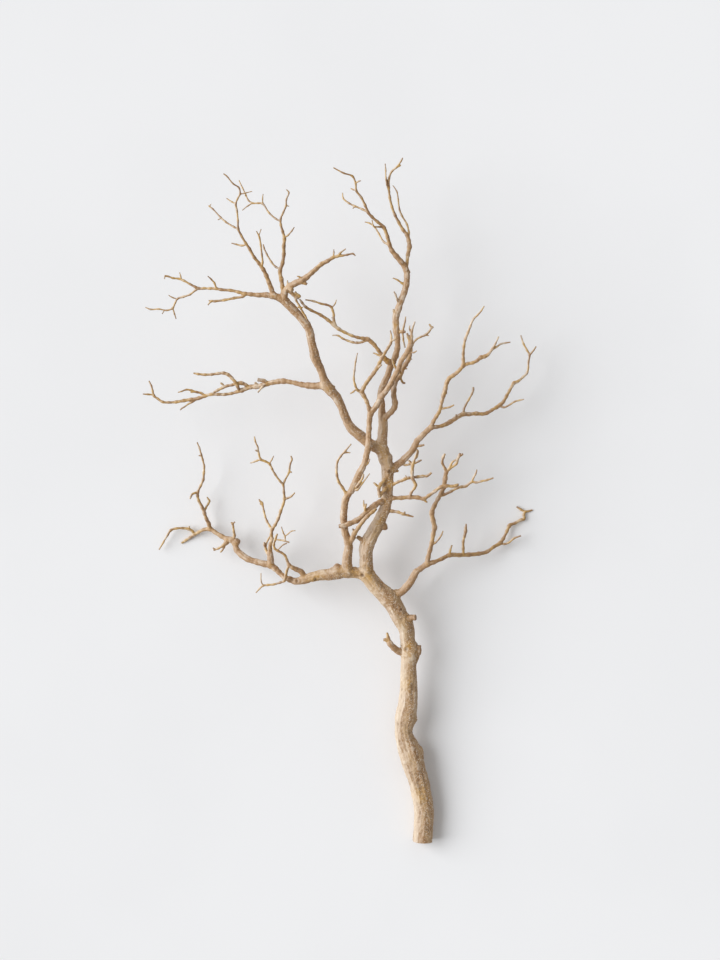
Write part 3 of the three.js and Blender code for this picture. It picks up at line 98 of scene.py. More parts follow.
# Each path starts with the piece that it grows from. A name further on starts a new piece at the
# point that follows it. A path with no second name stays part of the piece that it grows from.
# A point is [x, y, height, thickness]. Heights of the first path are above the ground, and those
# of every other path are above the wood that it grows from. The first point slides onto that wood.
TRUNK_AND_LEADER = [
  ["ground", "trunk", [132, -546, 16.6, 32], [134, -495, 19, 31], [128, -458, 22, 31],
    [119, -428, 25, 34], [113, -404, 27, 38], [105, -384, 30, 30], [102, -368, 32, 28],
    [105, -348, 34, 33], [109, -322, 37, 29], [110, -290, 41, 26], [110, -262, 45, 25],
    [111, -242, 48, 27], [108, -222, 51, 23], [105, -202, 53, 26], [95, -186, 56, 28],
    [87, -170, 58, 28], [77, -156, 60, 29],
    "leader_lower", [64, -144, 62, 26], [53, -132, 64, 25], [45, -121, 66, 23],
    [42, -108, 70, 21], [42, -92, 74, 21], [42, -78, 77, 22], [47, -64, 80, 23],
    [54, -51, 83, 22], [61, -38, 85, 20], [67, -26, 87, 19], [72, -13, 89, 18], [75, 1, 91, 18],
    "leader_middle", [76, 16, 94, 18], [76, 28, 96, 19], [76, 42, 98, 19], [75, 54, 100, 19],
    [72, 65, 102, 21], [68, 76, 104, 19], [67, 90, 106, 17], [68, 106, 108, 16.5],
    [69, 122, 110, 15.5],
    "leader_upper", [67, 140, 112, 12], [67, 152, 113, 10.5], [65, 166, 114, 10],
    [67, 178, 115, 10], [72, 190, 117, 10], [77, 201, 119, 10], [80, 211, 121, 10],
    [84, 220, 123, 10],
    "top_limb", [89, 231, 125, 9.5], [91.5, 243, 127, 9], [91.5, 257, 129, 9],
    [90, 270, 131, 10], [89, 284, 133, 10.5], [90, 296, 135, 10], [94, 307, 137, 10.5],
    [98, 320, 139, 10], [103, 333, 142, 10], [106, 345, 145, 10.5], [107, 358, 148, 9.5],
    [105, 370, 151, 9],
    "top_left_spray", [98, 381, 155, 8.5], [90, 390, 158, 8], [83, 399, 160, 7],
    [79, 409, 163, 6], [76, 421, 166, 5.5], [70, 436, 170, 5.5], [60, 445, 173, 4.5],
    [51, 453, 176, 4.5], [45, 460, 178, 4.5], [40, 472, 182, 4], [34, 484, 186, 3.5],
    [26, 495, 190, 3.5], [25, 506, 194, 3], [20, 518, 198, 3], [6, 523, 201, 2.5],
    [-11, 532, 203, 2]],
]

TRUNK_STUBS = [
  ["trunk", [104, -246, 0, 13], [94, -242, 6, 11], [86, -236, 11, 10], [80, -230, 14, 9],
    [77, -221, 15, 5], [75, -212, 15, 4]],
  ["trunk", [80, -229, 0, 6], [74, -224, 1, 5], [69, -224, 1, 4]],
  ["trunk", [120, -254, 0, 12], [125, -244, 4, 9], [126, -233, 6, 8]],
  ["trunk", [104, -196, 0, 14], [113, -189, 8, 9], [121, -188, 12, 9]],
]

LEADER_TWIGS = [
  ["leader_lower", [72, -18, 0, 6], [84, -18, 5, 4.6], [93, -19.5, 8, 4], [101, -22.5, 10, 4],
    [109, -24.5, 10, 3], [118, -27, 10, 2.4]],
  ["leader_lower", [102, -23, 0, 3.5], [104, -19, 3, 3]],
  ["leader_lower", [44, -70, 0, 10], [36, -65, 6, 7.5], [31, -61, 8, 5.5], [27, -59, 9, 4.5]],
  ["leader_lower", [62, -40, 0, 14], [71, -43, 0, 10], [75, -42.5, 0, 6]],
  ["leader_middle", [76, 40, 0, 7], [71, 32, 9, 5], [65, 25, 11, 5], [62, 18, 12, 5],
    [63, 10, 12, 5], [63.5, 4, 11, 4.5]],
  ["leader_middle", [62, 20, 0, 3.5], [57, 25, 1, 3], [53, 28, 1, 2]],
  ["leader_middle", [77, 24, 0, 6], [72, 17, 11, 5], [67, 11, 13, 5], [64, 6, 13, 4]],
  ["leader_middle", [72, 67, 0, 18], [77, 68, 0, 13]],
]

TOP_SPRAYS = [
  ["top_limb", [105, 344, 0, 4], [99, 347, 3, 3], [92, 352, 5, 2.5], [84, 355.5, 6, 2]],
  ["top_limb", [96, 313, 0, 4], [92, 320, 6, 3], [89, 328, 10, 2.5], [86, 334, 12, 2]],
  ["top_limb", [107, 362, 0, 6], [112, 366, 1, 4]],
  ["top_limb", [92, 268, 0, 5], [99, 269.5, 4, 4.5], [105, 269, 6, 4]],
  ["top_limb", [100, 270, 0, 4], [102, 278, 3, 3], [104, 286, 5, 2.5], [105, 294, 6, 2]],
  ["top_limb", [100, 269, 0, 3.5], [101, 258, 0, 3], [104, 243, 0, 2.5]],
  ["top_limb", [89, 296, 0, 4], [86, 302, 3, 3], [85, 306, 4, 2]],
  ["top_left_spray", [25, 507, 0, 2.5], [30, 510, 2, 2], [34, 511, 3, 1.5]],
  ["top_left_spray", [26, 495.5, 0, 2.5], [20, 497, -2, 2], [17, 499, -3, 1.8]],
  ["top_left_spray", [45, 460, 0, 3.5], [36, 465, -4, 3], [24, 470, -8, 3], [14, 475, -11, 2.8],
    [5, 483, -14, 2.5], [4, 492, -16, 1.8]],
  ["top_left_spray", [24, 470, 0, 2.4], [20, 466, -1, 1.8]],
  ["top_left_spray", [79, 408, 0, 3.8], [70, 413, -5, 3], [62, 426, -9, 2.8],
    [55, 437, -12, 2.5], [47, 443, -14, 2.2], [39, 445, -15, 1.8]],
  ["top_left_spray", [70, 436, 0, 3.2], [63, 437, 5, 2.6], [54, 438, 9, 2.4], [51, 449, 12, 1.8]],
  ["top_limb", "top_right_spray", [106, 366, 0, 6], [107, 378, -2, 5], [108.5, 392, -4, 5.6],
    [111, 405, -6, 6.8], [110, 415, -7, 6], [107, 424, -8, 5.6], [101, 432, -8, 5],
    [94, 444, -7, 4.6], [88, 456, -6, 4.3], [83, 469, -4, 4], [79.5, 484, -2, 4],
    [78, 500, 1, 3.8], [78.5, 515, 4, 3.4], [83, 526, 7, 3.2], [91, 533, 10, 3],
    [98, 543, 13, 2.6], [100.5, 548, 15, 2.2]],
  ["top_right_spray", [91, 533, 0, 2.2], [95, 534, 1, 2], [98, 536, 1, 1.5]],
  ["top_right_spray", [78, 493, 0, 3], [75, 504, 4, 2.6], [73.5, 514, 7, 2.5],
    [73, 528, 10, 2.2], [72, 539, 12, 1.8]],
  ["top_right_spray", [109.5, 417, 0, 3.8], [110, 428, -4, 3.2], [107, 441, -8, 3],
    [99, 455, -11, 3], [95, 465, -13, 2.8], [93, 480, -15, 2.5], [91, 493, -16, 2.2],
    [84, 504, -17, 1.8]],
]

RIGHT_LOWER = [
  ["trunk", "right_lower_limb", [86, -163, 0, 14], [92, -151, 2, 12], [100, -146, 3, 12],
    [107, -139, 4, 12.5], [113, -131, 5, 12.5], [118, -122, 5, 11], [122, -115, 5, 9.5],
    [129, -110, 5, 8.5], [139, -103, 5, 9],
    "right_floor_limb", [150, -99.5, 3, 6.5], [163, -94, -1, 6], [176, -88, -6, 7],
    [191, -88, -13, 6], [206, -87.5, -20, 6], [222, -86, -27, 6], [235, -83, -33, 5.5],
    [246, -75, -38, 5], [256, -69, -43, 6], [261, -62, -45, 5], [267, -50, -48, 4.5],
    [271, -41, -50, 5.5], [280, -37, -52, 4], [289, -32, -53, 4], [294.5, -30, -54, 4],
    [294, -24, -55, 4], [296, -19, -56, 3.5], [301, -18, -57, 2.7], [308, -16, -57.5, 2.5]],
  ["right_floor_limb", [296, -19, 0, 3], [289, -15, 0, 3], [282, -10.5, 0, 2.5]],
  ["right_floor_limb", [257, -70, 0, 3.2], [263, -70.5, 0, 3], [270, -68, 1, 3],
    [278, -61.5, 3, 3], [290, -57, 5, 2.5]],
  ["right_floor_limb", [175, -87, 0, 4.5], [176, -81, 3, 3.2], [179, -72, 6, 2.8]],
  ["right_floor_limb", [197, -86, 0, 5], [197, -77, 4, 4], [197, -66, 8, 4], [199, -58, 11, 4],
    [201, -50, 13, 5], [201, -44, 14, 3.5], [202, -38, 15, 2.8]],
  ["right_lower_limb", "right_rising_limb", [139, -103, 0, 8], [141, -92, 3, 7],
    [144, -80, 6, 7], [147, -68, 8, 6.5], [149, -55, 10, 6], [151, -44, 12, 7.5],
    [149, -33, 14, 6.5], [147, -20, 16, 7.5], [151, -9, 18, 6.5], [157, 2, 20, 6],
    [162, 11, 22, 6.5],
    "right_rising_top", [166, 21, 24, 7], [168, 34, 28, 7.5], [170, 44, 31, 5.5],
    [175, 50, 33, 4.2], [186, 58, 37, 4], [188, 65, 39, 4], [191, 71, 41, 3.8],
    [191.5, 75, 42, 3]],
  ["right_rising_limb", [149, -73, 0, 3.5], [153, -68, 2, 3], [158, -62, 4, 2.8],
    [162, -56, 6, 2.5], [165, -49, 8, 2]],
  ["right_rising_limb", "right_rising_side_twig", [160, 7, 0, 5], [166, 8.5, 1, 4.6],
    [178, 14, 4, 4], [188, 19.5, 7, 4], [194, 21, 8, 4], [201, 22, 9, 4], [211, 29, 12, 3.8],
    [218, 28, 13, 3], [226, 30, 14, 3], [235, 32, 15, 3], [246, 35.5, 17, 2.5]],
  ["right_rising_side_twig", [211, 29, 0, 3], [213, 35, 3, 2.8], [217, 42, 6, 2.5],
    [219, 49, 8, 2]],
  ["right_rising_top", [170, 44, 0, 4.2], [168, 50, 2, 4], [163.5, 60, 5, 4], [165, 68, 8, 4],
    [168, 74, 10, 3.2]],
  ["right_rising_top", [190, 70, 0, 3], [194, 72, 1, 2.8], [197, 74, 2, 2.8]],
  ["right_rising_top", [174, 49, 0, 3.2], [177, 56, 3, 3], [180, 61, 5, 3], [185, 64.5, 7, 2.5]],
]

LEFT_LOWER = [
  ["leader_lower", "left_lower_limb", [45, -121, 0, 20], [30, -117, 1, 17], [14, -115, 2, 18],
    [-4, -116, 2, 21], [-16, -119, 1, 19], [-30, -120, -1, 16], [-44, -123, -3, 15.5],
    [-58, -127, -6, 14], [-70, -130, -8, 11], [-80, -127, -10, 9], [-89, -123, -12, 8],
    [-98, -115, -14, 8], [-104, -109, -15, 9], [-111, -104, -17, 11],
    "left_floor_limb", [-121, -102, -19, 10], [-133, -99, -22, 9], [-146, -95, -26, 9.5],
    [-157, -88, -30, 10], [-165, -80, -33, 9], [-168, -69, -36, 9], [-173, -64, -38, 9],
    [-180, -62.5, -40, 8], [-190, -57.5, -44, 6.5], [-200, -51.5, -48, 6], [-208, -46.5, -51, 7],
    [-218, -47.5, -55, 5], [-226, -51.5, -58, 4.5], [-233, -55, -61, 4.5], [-240, -60, -63, 4],
    [-247, -64.5, -64, 3.5], [-254, -69, -64.5, 3]],
  ["left_lower_limb", [0, -114, 0, 16], [-4, -108, 2, 12], [-6, -105, 3, 8]],
  ["left_floor_limb", [-168, -70, 0, 9], [-165, -67, 1, 10], [-164, -65, 2, 8]],
  ["left_floor_limb", [-171, -64, 0, 5], [-169, -57, 3, 4], [-170, -50, 6, 3.4],
    [-171, -43, 8, 3], [-172, -38, 10, 3], [-175, -35.5, 11, 2]],
  ["left_floor_limb", [-172, -38, 0, 2.4], [-170, -36.5, 1, 2], [-168, -35, 2, 1.6]],
  ["left_floor_limb", [-178, -63, 0, 7], [-182, -68, 1, 7], [-187, -72.5, 0, 4],
    [-195, -77.5, -3, 3.2], [-201, -79.5, -5, 3], [-203, -80, -5, 2.6]],
  ["left_floor_limb", [-200, -79, 0, 2.2], [-204, -76, 1, 1.8]],
  ["left_floor_limb", [-184, -70, 0, 4], [-186, -76, -2, 3], [-189, -81, -4, 2.6],
    [-192, -84, -5, 2.2]],
  ["left_floor_limb", [-233, -55, 0, 4], [-236, -50, 2, 3.6], [-242, -46.5, 4, 4],
    [-252, -45, 6, 3.2], [-262, -45.5, 7, 3.2], [-271, -48.5, 7, 3.8], [-276, -56, 7, 3],
    [-283, -68, 6, 2.7], [-290, -80, 5, 2.2]],
  ["left_floor_limb", [-242, -46.5, 0, 2.6], [-241, -41, 2, 1.8]],
  ["left_floor_limb", "left_outer_twig", [-208, -46.5, 0, 6.5], [-210, -38, 4, 6],
    [-214, -30, 8, 5.2], [-217, -21, 11, 5.2], [-221, -11, 14, 4.6], [-226, -1, 17, 4],
    [-228, 7, 19, 4], [-227.5, 13, 21, 4], [-223, 23, 24, 3.5], [-219, 33, 27, 4],
    [-218, 44, 30, 3.5], [-217.5, 54, 33, 3.3], [-220, 65, 36, 3], [-222, 72, 38, 3],
    [-225, 83, 40, 2.5], [-229, 93, 42, 2]],
  ["left_outer_twig", [-227.5, 12, 0, 3.4], [-233, 11, 2, 3], [-237, 9, 3, 2.8],
    [-239, 5, 4, 2.5], [-240, 1, 5, 2]],
  ["left_outer_twig", [-222, 71, 0, 2.5], [-227, 71, 1, 1.8]],
  ["left_outer_twig", [-217.5, -19, 0, 4], [-215, -13, -2, 3], [-211, -6, -3, 3],
    [-209, -1.5, -4, 3], [-211, 2, -3, 2.2], [-213, 5, -2, 1.6]],
]

LEFT_RISING = [
  ["left_lower_limb", "left_rising_limb", [-111, -104, 0, 11], [-111, -93, 4, 10],
    [-112, -85, 7, 8], [-112, -78, 9, 6], [-111, -70, 12, 5.5], [-109, -62, 15, 5],
    [-110, -55, 18, 4.5], [-108.5, -47, 21, 5],
    "left_rising_right_twig", [-104, -40, 24, 4.5], [-99, -30, 27, 4.5], [-95, -18, 30, 4.5],
    [-91, -7, 32, 4], [-89, 2, 34, 4.5], [-90, 13, 37, 3.6], [-91, 24, 39, 3.5],
    [-96, 30, 41, 3.2], [-104, 41, 44, 3], [-109, 50, 46, 3], [-113, 58, 48, 3.5],
    [-120, 62, 50, 3], [-127, 65, 51, 3.8], [-130, 74, 53, 3], [-132, 85, 55, 2.6],
    [-136, 95, 57, 2.3], [-137, 102, 58, 2]],
  ["left_rising_limb", [-112, -89, 0, 5], [-116, -85, -3, 4], [-119, -78, -5, 4],
    [-118.5, -71, -6, 3], [-115, -63, -5, 2.8], [-111.5, -57, -3, 2.4]],
  ["left_rising_limb", [-119, -77, 0, 3.5], [-121.5, -71, 2, 3], [-121, -67, 3, 2.2]],
  ["left_rising_limb", "left_rising_left_twig", [-108.5, -47, 0, 4], [-113, -41, -2, 3.5],
    [-117, -34, -4, 3.3], [-120, -26, -5, 3], [-122, -17, -6, 3], [-124, -8, -7, 3],
    [-124.5, -4.5, -7, 3], [-128, -2, -7, 2.6], [-130, 2, -7, 2]],
  ["left_rising_left_twig", [-124, -8, 0, 3], [-127, -6, 0, 2.5], [-128.5, -5, 0, 2]],
  ["left_rising_right_twig", [-91, 24, 0, 3.2], [-89, 30, -2, 3], [-82, 44, -5, 3],
    [-81, 50, -6, 3], [-80, 57, -7, 2.8], [-77, 65, -8, 2.8], [-79, 71, -9, 2.2]],
  ["left_rising_right_twig", [-81, 46, 0, 2.2], [-79, 45, 1, 2], [-77, 44, 2, 1.6]],
  ["left_rising_right_twig", [-132, 78, 0, 2.5], [-134, 79, 2, 2.2], [-136, 80, 3, 1.8]],
  ["left_rising_right_twig", [-127, 65, 0, 3], [-133, 63, -2, 2.5], [-138, 61, -3, 2.2],
    [-144, 59, -4, 1.8]],
  ["left_rising_right_twig", [-113, 58, 0, 2.5], [-109, 65, 3, 2], [-106, 71, 5, 1.5]],
  ["left_rising_right_twig", [-89, 2, 0, 4], [-84, 3, 2, 3], [-78, 6, 4, 2.8], [-72, 12, 6, 2.2]],
]

LEFT_ARCH = [
  ["left_lower_limb", "left_arch_twig", [-56, -125, 0, 10], [-62, -115, 4, 8],
    [-70, -111, 6, 7], [-76, -108, 8, 6], [-82, -103, 9, 5], [-85, -96, 10, 3.8],
    [-88, -89, 11, 3.6], [-94, -84, 12, 3.5], [-100, -81, 13, 3.5], [-105, -77, 14, 3.5],
    [-106, -71, 16, 3.5], [-104, -64, 18, 3.4], [-102.5, -59, 19, 3.2], [-100, -54, 20, 3]],
  ["left_arch_twig", [-103, -63, 0, 2.4], [-97, -64, 2, 2.2], [-90, -65, 4, 2.4],
    [-81, -68, 6, 2.4]],
  ["left_arch_twig", [-88, -65, 0, 2], [-88, -59, 2, 2], [-91, -52, 4, 2], [-94, -42, 6, 1.6]],
  ["left_arch_twig", [-88, -58, 0, 2], [-83, -54, 2, 1.8], [-78, -50, 4, 1.6],
    [-71, -49, 5, 1.4]],
  ["left_arch_twig", [-100, -81, 0, 2.2], [-95, -75, 3, 2], [-90, -71, 5, 2], [-84, -69, 6, 1.8]],
  ["left_arch_twig", [-82, -104, 0, 4.5], [-85, -113, -1, 4], [-87, -122, -2, 4.5],
    [-89, -129, -4, 4], [-96, -132, -6, 3.4], [-106, -135, -8, 3], [-116, -136, -9, 3],
    [-123, -137, -10, 3], [-129, -142, -11, 2.4], [-135, -149, -12, 1.8]],
  ["left_arch_twig", [-123, -137, 0, 2], [-126, -131, 2, 1.8], [-126.5, -116, 5, 1.4]],
]

INNER_AND_FRONT = [
  ["left_lower_limb", "inner_limb", [12, -116, 0, 18], [11, -102, 6, 16], [12, -88, 12, 15],
    [14, -76, 16, 12.5], [12, -65, 20, 12], [9, -54, 24, 11], [7, -42, 28, 11],
    [6, -28, 31, 11], [7, -12, 34, 11], [9, 0, 37, 11], [13, 8, 40, 10],
    "front_limb", [18, 15, 42, 9.5], [22, 23, 44, 10], [27, 34, 46, 11], [31, 43, 48, 11.5],
    [36, 52, 51, 9], [40, 61, 53, 9], [42, 70, 55, 9], [44, 79, 57, 9.5], [46, 90, 60, 10],
    [46, 102, 62, 8], [46.5, 114, 64, 8], [47, 127, 66, 8], [49, 138, 68, 9], [54, 145, 70, 8.5],
    "front_right_limb", [59, 152, 71, 8.5], [63, 159, 72, 8.5], [67, 166, 73, 9],
    [72, 172, 74, 8], [77, 179, 75, 8], [82, 187, 75, 8], [86, 195, 76, 8], [90, 203, 77, 8],
    [94, 212, 79, 7], [98, 222, 82, 7], [103, 230, 84, 8], [108, 238, 86, 8], [112, 247, 87, 8],
    [113, 254, 88, 7], [114, 262, 91, 5], [115, 271, 94, 3.5], [120, 286, 98, 2.2]],
  ["inner_limb", "inner_cross_twig", [15, -72, 0, 8], [20, -61, 8, 7], [23, -54, 14, 7],
    [29, -45, 23, 6], [36, -35, 30, 6], [44, -26, 33, 6], [52, -19, 34, 5], [59, -14, 34, 4]],
  ["inner_cross_twig", [24, -52, 0, 4], [20, -46, 3, 3]],
  ["inner_limb", "hoop_twig", [11, 4, 0, 6], [9, 11, 3, 4.5], [4, 20, 6, 4.2], [-2, 29, 8, 4],
    [-5, 40, 11, 4], [-5.5, 52, 13, 3.4], [-4, 62, 15, 3.2], [1, 70, 17, 3.2], [8, 78, 18, 3],
    [18, 90, 20, 2]],
  ["hoop_twig", [5, 75, 0, 2.2], [11, 76, 0, 2], [17, 75.5, -1, 1.5]],
  ["front_limb", [21, 21, 0, 4], [26, 21, 5, 3.5], [31, 27, 7, 3.5], [36, 35, 9, 3],
    [38, 42, 8, 2.5]],
  ["front_limb", [20, 19, 0, 4], [27, 16, 4, 3], [36, 27, 7, 2.5], [48, 43, 9, 1.5]],
  ["front_limb", [38, 56, 0, 3], [44, 58, 3, 2.5], [48, 66, 6, 1.5]],
  ["front_limb", "front_left_twig", [48, 136, 0, 8], [46, 147, 3, 6.2], [43, 157, 5, 5.6],
    [38, 167, 7, 6], [35, 173, 8, 7], [38, 180, 9, 5.6], [42, 187, 10, 5.2],
    [48, 195, 11, 5.4], [54, 203, 12, 5.4], [59, 211, 13, 5.4], [63, 219, 14, 5],
    [67, 227, 15, 5], [72, 236, 16, 4.4], [77, 244, 17, 4.2], [81, 251, 18, 4],
    [82, 261, 19, 3], [80.5, 272, 20, 2]],
  ["front_left_twig", [34, 173, 0, 5], [28, 176, 3, 3.8], [24, 184, 6, 3.3], [22, 194, 9, 3],
    [23, 207, 12, 2.8], [25, 222, 15, 2.4], [28, 236, 17, 1.8]],
  ["front_left_twig", [26, 178, 0, 2.6], [21, 173, 1, 2.2], [16, 170, 2, 1.8]],
  ["front_left_twig", [59, 210, 0, 3], [63, 213, 3, 2.6], [67, 217, 5, 2]],
  ["front_left_twig", [64, 230, 0, 3], [59, 233, -2, 2.6], [52, 235.5, -3, 2]],
  ["front_left_twig", [82, 254, 0, 3.4], [87, 257, 2, 3], [91, 262, 3, 2.4]],
  ["front_right_limb", [113, 252, 0, 4.5], [109, 261, 4, 4], [107, 267, 6, 3.6]],
  ["front_right_limb", [112, 236, 0, 2.6], [118, 236, 3, 2.2], [123, 239, 5, 1.6]],
  ["front_right_limb", [114, 266, 0, 2.6], [111, 274, 3, 2], [112, 280, 5, 1.5]],
]

BOW = [
  ["leader_middle", "bow_limb", [69, 126, 0, 9.5], [75, 134, 6, 8.5], [82, 141, 10, 8.5],
    [87, 148, 12, 8.5], [88, 156, 13, 9], [86, 166, 14, 8], [86, 176, 14, 8.2],
    [87, 186, 14, 8.2], [91, 194, 14, 8], [96, 199, 15, 6.5], [99, 205, 16, 6],
    [101, 211, 17, 6], [105, 217, 18, 7], [109, 223, 19, 6.5], [111.5, 231, 20, 6],
    [113, 240, 21, 5.5], [115, 248, 23, 4], [122, 257, 26, 3], [129, 261, 28, 3],
    [136, 264, 30, 3.2], [142, 269, 32, 3], [147, 276, 34, 3], [149.5, 277, 35, 2.6]],
  ["bow_limb", [97, 200, 0, 4], [94, 206, 5, 3.6], [90, 210, 8, 3.5], [87, 215, 9, 3.4],
    [85, 221, 10, 3], [84, 227, 10, 2.8]],
  ["bow_limb", [98, 197, 0, 3.5], [99, 190, -3, 3], [102, 187, -4, 2.6], [105, 188, -4, 2]],
  ["bow_limb", [102, 210, 0, 2.6], [108, 210, 2, 2]],
  ["bow_limb", [112, 226, 0, 2.6], [115.5, 225, 1, 2]],
  ["bow_limb", [147, 275, 0, 2.6], [144.5, 279, 1, 2.6], [142, 282, 2, 2.4]],
  ["bow_limb", [136, 264, 0, 2.4], [143, 263, 2, 1.8]],
]

LONG_CROSSING = [
  ["leader_upper", "long_crossing_twig", [83, 217, 0, 9], [76, 222, 4, 9], [71, 227, 7, 8],
    [66, 233, 10, 6], [61, 240, 13, 5.4], [55, 248, 16, 5.6], [50, 253, 18, 6],
    [44, 257, 20, 7], [36, 258.5, 22, 5], [28, 260, 24, 4.2], [19, 263, 26, 4],
    [8, 268, 29, 4.2], [-2, 273.5, 32, 5], [-10, 280, 34, 5], [-19, 288, 37, 5],
    [-31, 296, 40, 4.4], [-47, 304, 44, 4.2], [-55, 309, 46, 3.8], [-61, 316, 47, 3.2],
    [-65, 322, 48, 2.5]],
  ["long_crossing_twig", [44, 255, 0, 4], [35, 252.5, -2, 3.4], [27, 251.5, -3, 3.4],
    [20, 252.5, -4, 3.2], [12, 255, -5, 3], [4, 258.5, -5, 2.8], [-3, 263, -5, 2.4],
    [-13, 263.5, -5, 1.4]],
  ["long_crossing_twig", [-6, 278, 0, 4.6], [-10, 288, 3, 4], [-10, 296, 5, 3.6],
    [-12, 304, 8, 3.5], [-15, 309.5, 9, 3.4], [-22, 312.5, 10, 3.2], [-30, 314, 11, 3],
    [-42, 318, 13, 2.8], [-56, 320.5, 15, 2.2]],
  ["long_crossing_twig", [-12, 308, 0, 2.4], [-8, 314, 2, 2], [-5.5, 321, 4, 1.4]],
  ["long_crossing_twig", [-10, 290, 0, 2.2], [-14, 292.5, 1, 1.6]],
]

MAIN_LEFT = [
  ["leader_middle", "main_left_limb", [67, 80, 0, 19], [58, 84, 2, 19], [50, 88, 3, 18.5],
    [42, 94, 4, 17.5], [35, 100, 6, 17.5], [28, 106, 9, 17.5], [20, 113, 12, 16],
    [14, 121, 15, 15], [10, 130, 18, 14], [6, 139, 21, 14], [3, 148, 24, 13.5],
    [-2, 158, 27, 13.5], [-7, 167, 30, 15], [-14, 174, 33, 16.5], [-20, 182, 36, 16.5],
    [-25, 191, 39, 14],
    "main_left_upper", [-28, 201, 42, 12.5], [-32, 211, 45, 12.5], [-37, 221, 48, 13.5],
    [-41, 231, 50, 15.5], [-43, 241, 53, 14], [-45.5, 251, 55, 12.5], [-47, 261, 57, 12.5],
    [-49, 270, 59, 13], [-54, 281, 62, 13.5], [-61, 290, 65, 12.5], [-67, 297, 67, 13],
    [-74, 304, 69, 14.5], [-82, 312, 72, 15], [-89, 319, 74, 15], [-96, 323, 76, 13],
    [-108, 326.5, 77, 9.5],
    "upper_left_limb", [-118, 328, 77, 8], [-130, 328, 76, 7],
    [-143, 329, 75, 6], [-152, 330, 74, 5.5], [-162, 332.5, 73, 4.8], [-175, 335.5, 71, 4.5],
    [-190, 336.5, 69, 4.3], [-198, 338, 68, 4.3], [-208, 338.5, 66, 3.8], [-218, 338.5, 64, 3.8],
    [-226, 338.5, 62, 4.2], [-232, 341, 62, 3.6], [-240, 345.5, 62, 3.2], [-250, 351, 62, 3.2],
    [-258, 354, 62, 3], [-267, 355, 63, 3], [-276, 358, 64, 2.6], [-281, 359, 65, 2.2]],
  ["main_left_limb", [-12, 177, 0, 5], [-8, 183, 1, 2]],
]

LEFT_MIDDLE = [
  ["main_left_limb", "left_middle_limb", [-20, 180, 0, 15], [-31, 183, -2, 12.5],
    [-41, 182.5, -4, 11], [-51, 183, -6, 10], [-61, 184.5, -8, 8], [-71, 187, -10, 7],
    [-80, 188.5, -12, 6.8], [-90, 190, -14, 8.2], [-98, 189.5, -16, 7.6], [-108, 188, -18, 7],
    [-116, 186, -20, 7], [-125, 183, -22, 7], [-134, 181.5, -24, 7.4], [-143, 181, -26, 7],
    [-150, 178.5, -28, 6], [-157, 175.5, -29, 6.8], [-165, 173, -31, 5], [-174, 170.5, -33, 4.4],
    [-184, 169, -34, 4.2], [-195, 169, -36, 4],
    "left_middle_tip", [-206, 169, -37, 4.4], [-216, 166.5, -39, 5], [-226, 162.8, -41, 5.6],
    [-238, 160.8, -43, 5.2],
    [-250, 159, -45, 5], [-262, 157, -47, 4.2], [-274, 156, -48, 3.6], [-284, 157, -49, 3.8],
    [-291, 161.5, -50, 3.5], [-298, 167, -51, 3.8], [-300, 175, -51, 3], [-302, 183, -51, 2.8],
    [-306, 191, -51, 2.3]],
  ["left_middle_limb", [-115, 187, 0, 6], [-122, 190.5, 2, 5.5], [-132, 192.5, 4, 5.5]],
  ["left_middle_limb", [-117, 185, 0, 4], [-124, 181, 6, 3.4], [-132, 171.5, 8, 2]],
  ["left_middle_limb", [-131, 182, 0, 4], [-135, 187, 2, 3], [-137, 187.5, 3, 2.4]],
  ["left_middle_limb", [-145, 180, 0, 5], [-151, 184.5, 3, 4.5], [-158, 187, 4, 6],
    [-165, 186.5, 4, 5], [-173, 184, 3, 4.2], [-181, 182.5, 2, 4], [-188, 179.5, 1, 3.8],
    [-196, 175.5, 0, 4], [-203, 171.5, 0, 3.6]],
  ["left_middle_limb", [-185, 182, 0, 3], [-189, 186, 1, 2.6], [-192, 187.5, 2, 2]],
  ["left_middle_limb", [-161, 174, 0, 5], [-164, 182, 9, 5], [-168, 189, 12, 4.6],
    [-173, 195, 13, 4.6], [-179, 200.5, 13, 4.6], [-186, 203, 13, 4.4], [-195, 202.5, 12, 4],
    [-205, 201, 11, 3.8], [-216, 200.5, 10, 3.8], [-227, 201.5, 9, 3.4], [-235, 203, 8, 2.6]],
  ["left_middle_tip", [-216, 168, 0, 4], [-222, 171, 1, 3.4], [-229, 172.5, 2, 3.4],
    [-238, 175.5, 3, 3], [-246, 176.5, 4, 2.6], [-253, 174, 5, 2.2], [-260, 172, 5, 1.6]],
  ["left_middle_tip", [-231, 172.5, 0, 2.6], [-240, 172, 0, 1.8]],
  ["left_middle_tip", [-227, 161.5, 0, 3.4], [-237, 156.5, -3, 2.8], [-243, 153.5, -4, 2.4],
    [-249, 149, -5, 2.2], [-254, 146, -6, 2], [-256, 143, -6, 1.5]],
  ["left_middle_tip", [-299, 168, 0, 2.8], [-307, 169, 1, 2.6], [-316, 169.5, 2, 2]],
]

